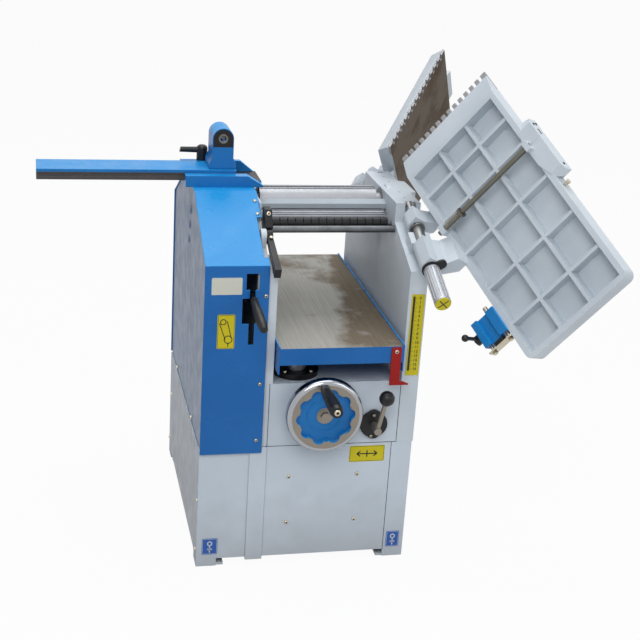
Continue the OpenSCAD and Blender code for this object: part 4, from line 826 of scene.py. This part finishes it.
def arrow_marks():
    marks = [flat_bar(44, 2.6)]
    for end, way in ((22, 1), (-22, -1)):
        marks.append(flat_bar(10, 2.6, way * 40, (end - way * 3.4, -3.1)))
        marks.append(flat_bar(10, 2.6, -way * 40, (end - way * 3.4, 3.1)))
    marks.append(flat_bar(16, 2.6, 90))
    return marks


def belt_marks():
    pulleys = [flat_ring(5.6, 1.8, (-6, 21)), flat_ring(8.0, 1.8, (5, -17))]
    belt = [flat_bar(38, 1.8, -76.5, (6.8, 4.2)), flat_bar(38, 1.8, -70.5, (-7.4, 0.6))]
    return pulleys + belt + [flat_bar(9, 1.8, 90, (5, -28))]


def ring_marks():
    return [flat_ring(4.6, 2.6, (0, 7)), flat_bar(17, 2.8, 90, (0, -6.5)), flat_bar(11, 2.8, 0, (0, -6.5))]


plates = (
    ("feed_plate", (133, BASE_FRONT, 258), (78, 38, 0.8), arrow_marks(), yellow_print, black_print),
    ("belt_plate", (-186, COVER_FRONT, 550), (36, 74, 0.8), belt_marks(), yellow_print, black_print),
    ("cover_plate", (-187, COVER_FRONT, 647.5), (62, 36, 0.6), [], beige_print, pale_plastic),
    ("left_mark_plate", (-203, BASE_FRONT, 48.5), (34, 39, 0.8), ring_marks(), blue_print, pale_plastic),
    ("right_mark_plate", (207.5, BASE_FRONT, 43), (30, 39, 0.8), ring_marks(), blue_print, pale_plastic),
)
for name, spot, size, marks, face_finish, line_finish in plates:
    sheet = plate(*size)
    for mark in marks:
        for face in mark.faces:
            face.material_index = 1
        gather(sheet, mark, Matrix.Identity(4))
    show(name, moved(sheet, placed(spot, FRONT)), [face_finish, line_finish], "frame")
print("plates made:", len(plates))

# %% [markdown]
# ## The thickness scale
# The scale is a yellow plate with centimetres printed down it: a black bar at its left, a tick for each
# half centimetre, and the numbers from 0 at the top to 16. A number is a text object, made a mesh and
# put on the plate.

# %% Scale marks and numbers
SCALE_LEFT = 203
SCALE_FRONT = -287.2
SCALE_TOP = 614
SCALE_LOW = 454.5
CENTIMETRES = 16
PRINT_Y = SCALE_FRONT + 0.55
step_mm = (SCALE_TOP - SCALE_LOW) / CENTIMETRES


def number_mesh(words, height_mm):
    curve = bpy.data.curves.new("number", "FONT")
    curve.body = words
    curve.size = height_mm * 1.42 * MM
    curve.align_x = "CENTER"
    curve.align_y = "CENTER"
    curve.extrude = 0.08 * MM
    curve.offset = 0.14 * MM
    carrier = bpy.data.objects.new("number", curve)
    bpy.context.scene.collection.objects.link(carrier)
    bpy.context.view_layer.update()
    ready = carrier.evaluated_get(bpy.context.evaluated_depsgraph_get())
    mesh = bpy.data.meshes.new_from_object(ready)
    bpy.data.objects.remove(carrier)
    bpy.data.curves.remove(curve)
    return mesh


scale_print = bmesh.new()
bar_middle = (SCALE_LEFT + 5, PRINT_Y, (SCALE_TOP + SCALE_LOW) / 2)
gather(scale_print, flat_bar(SCALE_TOP - SCALE_LOW + 8, 4.5, 90), placed(bar_middle, FRONT))
for half in range(2 * CENTIMETRES + 1):
    length = 6 if half % 2 == 0 else 3.4
    spot = (SCALE_LEFT + 6.5 + length / 2, PRINT_Y, SCALE_TOP - half * step_mm / 2)
    gather(scale_print, flat_bar(length, 0.9), placed(spot, FRONT))
for number in range(CENTIMETRES + 1):
    mesh = number_mesh(str(number), 6.2)
    bm = bmesh.new()
    bm.from_mesh(mesh)
    bpy.data.meshes.remove(mesh)
    spot = (SCALE_LEFT + 18.5, SCALE_FRONT - 0.06, SCALE_TOP - number * step_mm)
    gather(scale_print, bm, placed(spot, FRONT))
show("scale_print", scale_print, [black_print], "frame")
print("numbers on the scale:", CENTIMETRES + 1)

# %% [markdown]
# ## Screws of the tables
# A closed table is easy to measure on, so these places are given on the closed table and turned open
# with it. The comb plate is held by five screws from above, and three small screws hold the latch.

# %% Screws on the tables
comb_places = []
for share in (0.1, 0.3, 0.5, 0.7, 0.9):
    comb_places.append((6.4, 1.2, placed((-78 + 263 * share, -49.5, 778.6), UP, BACKWARD)))
latch_places = [(6, 1.6, placed((-103, y, z), LEFT)) for y, z in ((-206, 764), (-208, 753), (-316, 758))]
for side, table in tables:
    places = [(head, rise, table @ matrix) for head, rise, matrix in comb_places]
    screws(side + "_comb_screws", body_of[side + "_lip"], black_steel, places)
    places = [(head, rise, table @ matrix) for head, rise, matrix in latch_places]
    screws(side + "_latch_screws", body_of[side + "_table"], black_steel, places)
print("screws on the tables:", 2 * (len(comb_places) + len(latch_places)))

# %% [markdown]
# ## Latch slots and stop bolts
# Each latch has a slot in its outer face, drawn as a flat black strip: painted shade for the opening.
# Beside it a plated bolt in the table's edge sets how far the table closes. The bolt's shank is turned
# with many steps and its head with six, which makes it a hexagon.

# %% Latch slots and stop bolts
HEAD_STEPS = 6
stop_head = [(0, 9), (5, 9), (5.5, 9.5), (5.5, 13), (4.8, 13.8), (0, 13.8)]
for side, table in tables:
    # painted shade: a flat black strip stands for the shaded slot
    slot = moved(flat_bar(15, 6), table @ placed((-102.5, -228, 757), LEFT))
    bolt = turned([(0, -2), (3, -2), (3, 9), (0, 9)], 16)
    gather(bolt, turned(stop_head, HEAD_STEPS), Matrix.Identity(4))
    moved(bolt, table @ placed((-78, -352, 757), LEFT))
    show(side + "_latch_slot_shade", slot, [black_print], body_of[side + "_table"])
    show(side + "_stop_bolt", bolt, [zinc_steel], body_of[side + "_table"])
print("latch slots and stop bolts: 4")

# %% [markdown]
# ## Hinge shafts
# The tables turn on inclined shafts. A set collar with a screw keeps each shaft in its lug, and a
# socket screw closes its upper end. The screw of the collar points up and to the left, square to the
# shaft. The infeed shaft carries the ribbed knob, whose yellow cap has a black cross.

# %% Collars, end screws and the cross on the cap
hinge_spot = HINGE / MM
collar_form = [(12.2, 0), (16, 0), (16.8, 0.8), (16.8, 4), (16, 4.8), (12.2, 4.8), (12.2, 0)]
above = shaft_way.cross(Vector((0.35, 0, 1))).cross(shaft_way).normalized()
aside = (above - Vector((0.9, 0, 0))).normalized()
aside = (aside - aside.dot(shaft_way) * shaft_way).normalized()
for side, flip in (("infeed", Matrix.Identity(4)), ("outfeed", mirrored)):
    collar = turned(collar_form, 40)
    moved(collar, flip @ placed(hinge_spot - 53.4 * shaft_way, shaft_way, RIGHT))
    show(side + "_set_collar", collar, [shaft_steel], body_of[side + "_shaft"])
    collar_screw = placed(hinge_spot - 51 * shaft_way + 16.6 * aside, aside, shaft_way)
    end_screw = placed(hinge_spot + 28 * shaft_way, shaft_way, RIGHT)
    places = [(4, 1.6, flip @ collar_screw), (14, 3, flip @ end_screw)]
    screws(side + "_shaft_screws", body_of[side + "_shaft"], black_steel, places)
cross = bmesh.new()
for turn in (45, -45):
    gather(cross, flat_bar(26, 2.2, turn), placed(hinge_spot - 284.8 * shaft_way, -shaft_way, RIGHT))
show("cap_cross", cross, [black_print], body_of["knob_cap"])
print("collars: 2, end screws: 2, crosses: 1")

# %% [markdown]
# ## Clamp strip of the guard bracket
# Under the blue bracket at the table's end a plated strip and a rubber block grip the guard's arm, with
# two bolts. The strip is a rounded bar, and the bolts are turned. All are given on the closed table.

# %% Strip, block and bolts
strip, upright = block(64, 22, 3)
bevel(strip, upright, 4, 4)
moved(strip, opened @ placed((217, -517.5, 750), FRONT))
show("guard_strip", strip, [zinc_steel], "infeed_table")
rubber = block(24, 16, 10.6)[0]
bevel(rubber, rubber.edges[:], 1.5, 3)
moved(rubber, opened @ placed((217, -510.6, 750), FRONT))
show("guard_block", rubber, [belt_rubber], "infeed_table")
guard_head = [(0, 13.8), (5.6, 13.8), (6, 14.3), (6, 18), (5.2, 18.8), (0, 18.8)]
bolts = bmesh.new()
for x in (194, 240):
    place = placed((x, -505, 750), FRONT)
    gather(bolts, turned([(0, -1), (3.5, -1), (3.5, 14), (0, 14)], 16), place)
    gather(bolts, turned(guard_head, HEAD_STEPS), place)
pin = turned([(0, -1), (5, -1), (5, 13), (4, 14), (0, 14)], 20)
gather(bolts, pin, placed((206, -445, 750), BACKWARD))
show("guard_bolts", moved(bolts, opened), [zinc_steel], "infeed_table")
print("clamp strip made")

# %% [markdown]
# ## Screws and caps of the grips and the levers
# The pointer and the clamp levers are held by bright screws. The crank's grip turns on a long screw,
# whose head shows at the end. The hub of the fence lever has a domed cap, and the bore of the fence's
# eye has a bright chamfer.

# %% Pointer screw, grip screw, lever screws, lever cap and eye ring
screws("pointer_screw", body_of["pointer"], zinc_steel, [(9, 2.4, placed((168.5, -326, 510.5), FRONT))])
cap = turned([(0, 0), (12, 0), (12, 10), (10.5, 13.5), (6.5, 16), (0, 16.8)], 32)
moved(cap, placed((-199, 57.9, 837.5), UP, BACKWARD))
show("fence_lever_cap", cap, [black_plastic], body_of["fence_lever"])
screws("grip_screw", "wheel_grip", zinc_steel, [(13, 2.2, placed((16.4, -460.3, 438.26), FRONT))])
for side, way in (("front", -1), ("rear", 1)):
    place = placed((-88, way * 219.6, 726.9), (0, way * 0.39, 0.92))
    screws(side + "_lever_screw", body_of[side + "_clamp_lever"], zinc_steel, [(8, 2.5, place)])
eye_ring = turned([(6.6, 0), (6.6, 0.4), (7.6, 0.9), (10, 0.5), (10.4, 0), (6.6, 0)], 32)
show("eye_ring", moved(eye_ring, placed(EYE, FRONT)), [rod_steel], body_of["fence_upright"])
print("screws, cap and eye ring made")

# %% [markdown]
# ## Seams between the panels
# The front is made of separate sheets, and a dark line shows wherever two of them meet. Real gaps of
# half a millimetre would be lost at this distance, so each seam is drawn as a thin dark strip on the
# joint. One seam lies level, and four stand upright.

# %% Panel seams
SEAM_WIDTH = 1.4
SEAM_Y = -285.5
seams = bmesh.new()
level_place = placed((50, SEAM_Y, 284), FRONT)
gather(seams, flat_bar(292, SEAM_WIDTH), level_place)
for x, low, high in ((-88, 18, 284), (186, 18, 284), (196, 284, 428), (-88, 284, 428)):
    upright_place = placed((x, SEAM_Y, (low + high) / 2), FRONT)
    gather(seams, flat_bar(high - low, SEAM_WIDTH, 90), upright_place)
show("panel_seams", seams, [seam_print], "frame")
print("seams: 5")

# %% [markdown]
# ## The spring on the lock rod
# A coil spring presses the lock rod of the near table into its latch. It is one wire of 2 mm in eleven
# turns. A small circle is spun round the rod while it moves along, which is how a spring is wound.

# %% Wind the spring
TURNS = 11
STEPS = 24 * TURNS
WIRE_RADIUS = 1.0
COIL_RADIUS = 8.5
SPRING_LENGTH = 43.8
coil = bmesh.new()
wire_start = Matrix.Translation((0, COIL_RADIUS * MM, 0)) @ Matrix.Rotation(math.pi / 2, 4, "Y")
wire = bmesh.ops.create_circle(coil, segments=10, radius=WIRE_RADIUS * MM, matrix=wire_start)
loop = list(dict.fromkeys(e for v in wire["verts"] for e in v.link_edges))
bmesh.ops.spin(coil, geom=wire["verts"] + loop, axis=RIGHT, cent=(0, 0, 0), angle=math.tau * TURNS,
               dvec=(-SPRING_LENGTH * MM / STEPS, 0, 0), steps=STEPS)
bmesh.ops.holes_fill(coil, edges=[e for e in coil.edges if e.is_boundary], sides=0)
bmesh.ops.recalc_face_normals(coil, faces=coil.faces[:])
moved(coil, opened @ Matrix.Translation(Vector((171.9, -245, 735)) * MM))
spring = show("infeed_spring_wire", coil, [spring_steel], body_of["infeed_spring"])
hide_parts("infeed_spring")
print("spring turns:", TURNS)

# %% [markdown]
# ## Floor and light
# A pale floor and three soft lamps stand for an overcast yard. The floor shows white to the camera, and
# it keeps part of its own shading so that the machine has a shadow to stand on.

# %% Floor, lamps and world
floor_form = bmesh.new()
bmesh.ops.create_grid(floor_form, x_segments=1, y_segments=1, size=30)
floor_mesh = bpy.data.meshes.new("floor")
floor_form.to_mesh(floor_mesh)
floor_form.free()
floor = bpy.data.objects.new("floor", floor_mesh)
bpy.context.scene.collection.objects.link(floor)


def seen_directly(tree):
    rays = add(tree, "ShaderNodeLightPath").outputs
    either = sums(tree, "MAXIMUM", rays["Is Camera Ray"], rays["Is Glossy Ray"])
    return sums(tree, "MAXIMUM", either, rays["Is Transmission Ray"])


def blended(tree, share, first, second, output):
    blend = add(tree, "ShaderNodeMixShader", {0: share, 1: first.outputs[0], 2: second.outputs[0]})
    tree.links.new(blend.outputs[0], tree.nodes[output].inputs["Surface"])


floor_paint = bpy.data.materials.new("pale_studio_floor")
floor_paint.use_nodes = True
tree = floor_paint.node_tree
plain = tree.nodes["Principled BSDF"]
plain.inputs["Base Color"].default_value = linear("#d8d8d8")
plain.inputs["Roughness"].default_value = 0.9
plain.inputs["Specular IOR Level"].default_value = 0.0
white = add(tree, "ShaderNodeEmission", {"Color": (1, 1, 1, 1), "Strength": 1.0})
blended(tree, sums(tree, "MULTIPLY", seen_directly(tree), 0.95), plain, white, "Material Output")
floor.data.materials.append(floor_paint)

world = bpy.data.worlds.new("overcast")
bpy.context.scene.world = world
world.use_nodes = True
tree = world.node_tree
sky = tree.nodes["Background"]
sky.inputs["Color"].default_value = linear("#f2f5fa")
sky.inputs["Strength"].default_value = 0.32
backdrop = add(tree, "ShaderNodeBackground", {"Color": (1, 1, 1, 1), "Strength": 1.0})
blended(tree, seen_directly(tree), sky, backdrop, "World Output")


def soft_lamp(name, place, aim, size, watts):
    lamp = bpy.data.lights.new(name, "AREA")
    lamp.size = size
    lamp.energy = watts
    made = bpy.data.objects.new(name, lamp)
    made.location = place
    made.rotation_mode = "QUATERNION"
    made.rotation_quaternion = (Vector(aim) - Vector(place)).to_track_quat("-Z", "Y")
    bpy.context.scene.collection.objects.link(made)


soft_lamp("key", (-1.0, -3.5, 3.5), (0, 0, 0.5), 2.5, 85)
soft_lamp("fill", (2.8, -2.6, 2.2), (0, 0, 0.6), 2.5, 30)
soft_lamp("sky", (0.0, 0.6, 4.0), (0, 0, 0.5), 3.0, 85)
bpy.context.scene.view_settings.view_transform = "Standard"
print("floor, lamps and world ready")
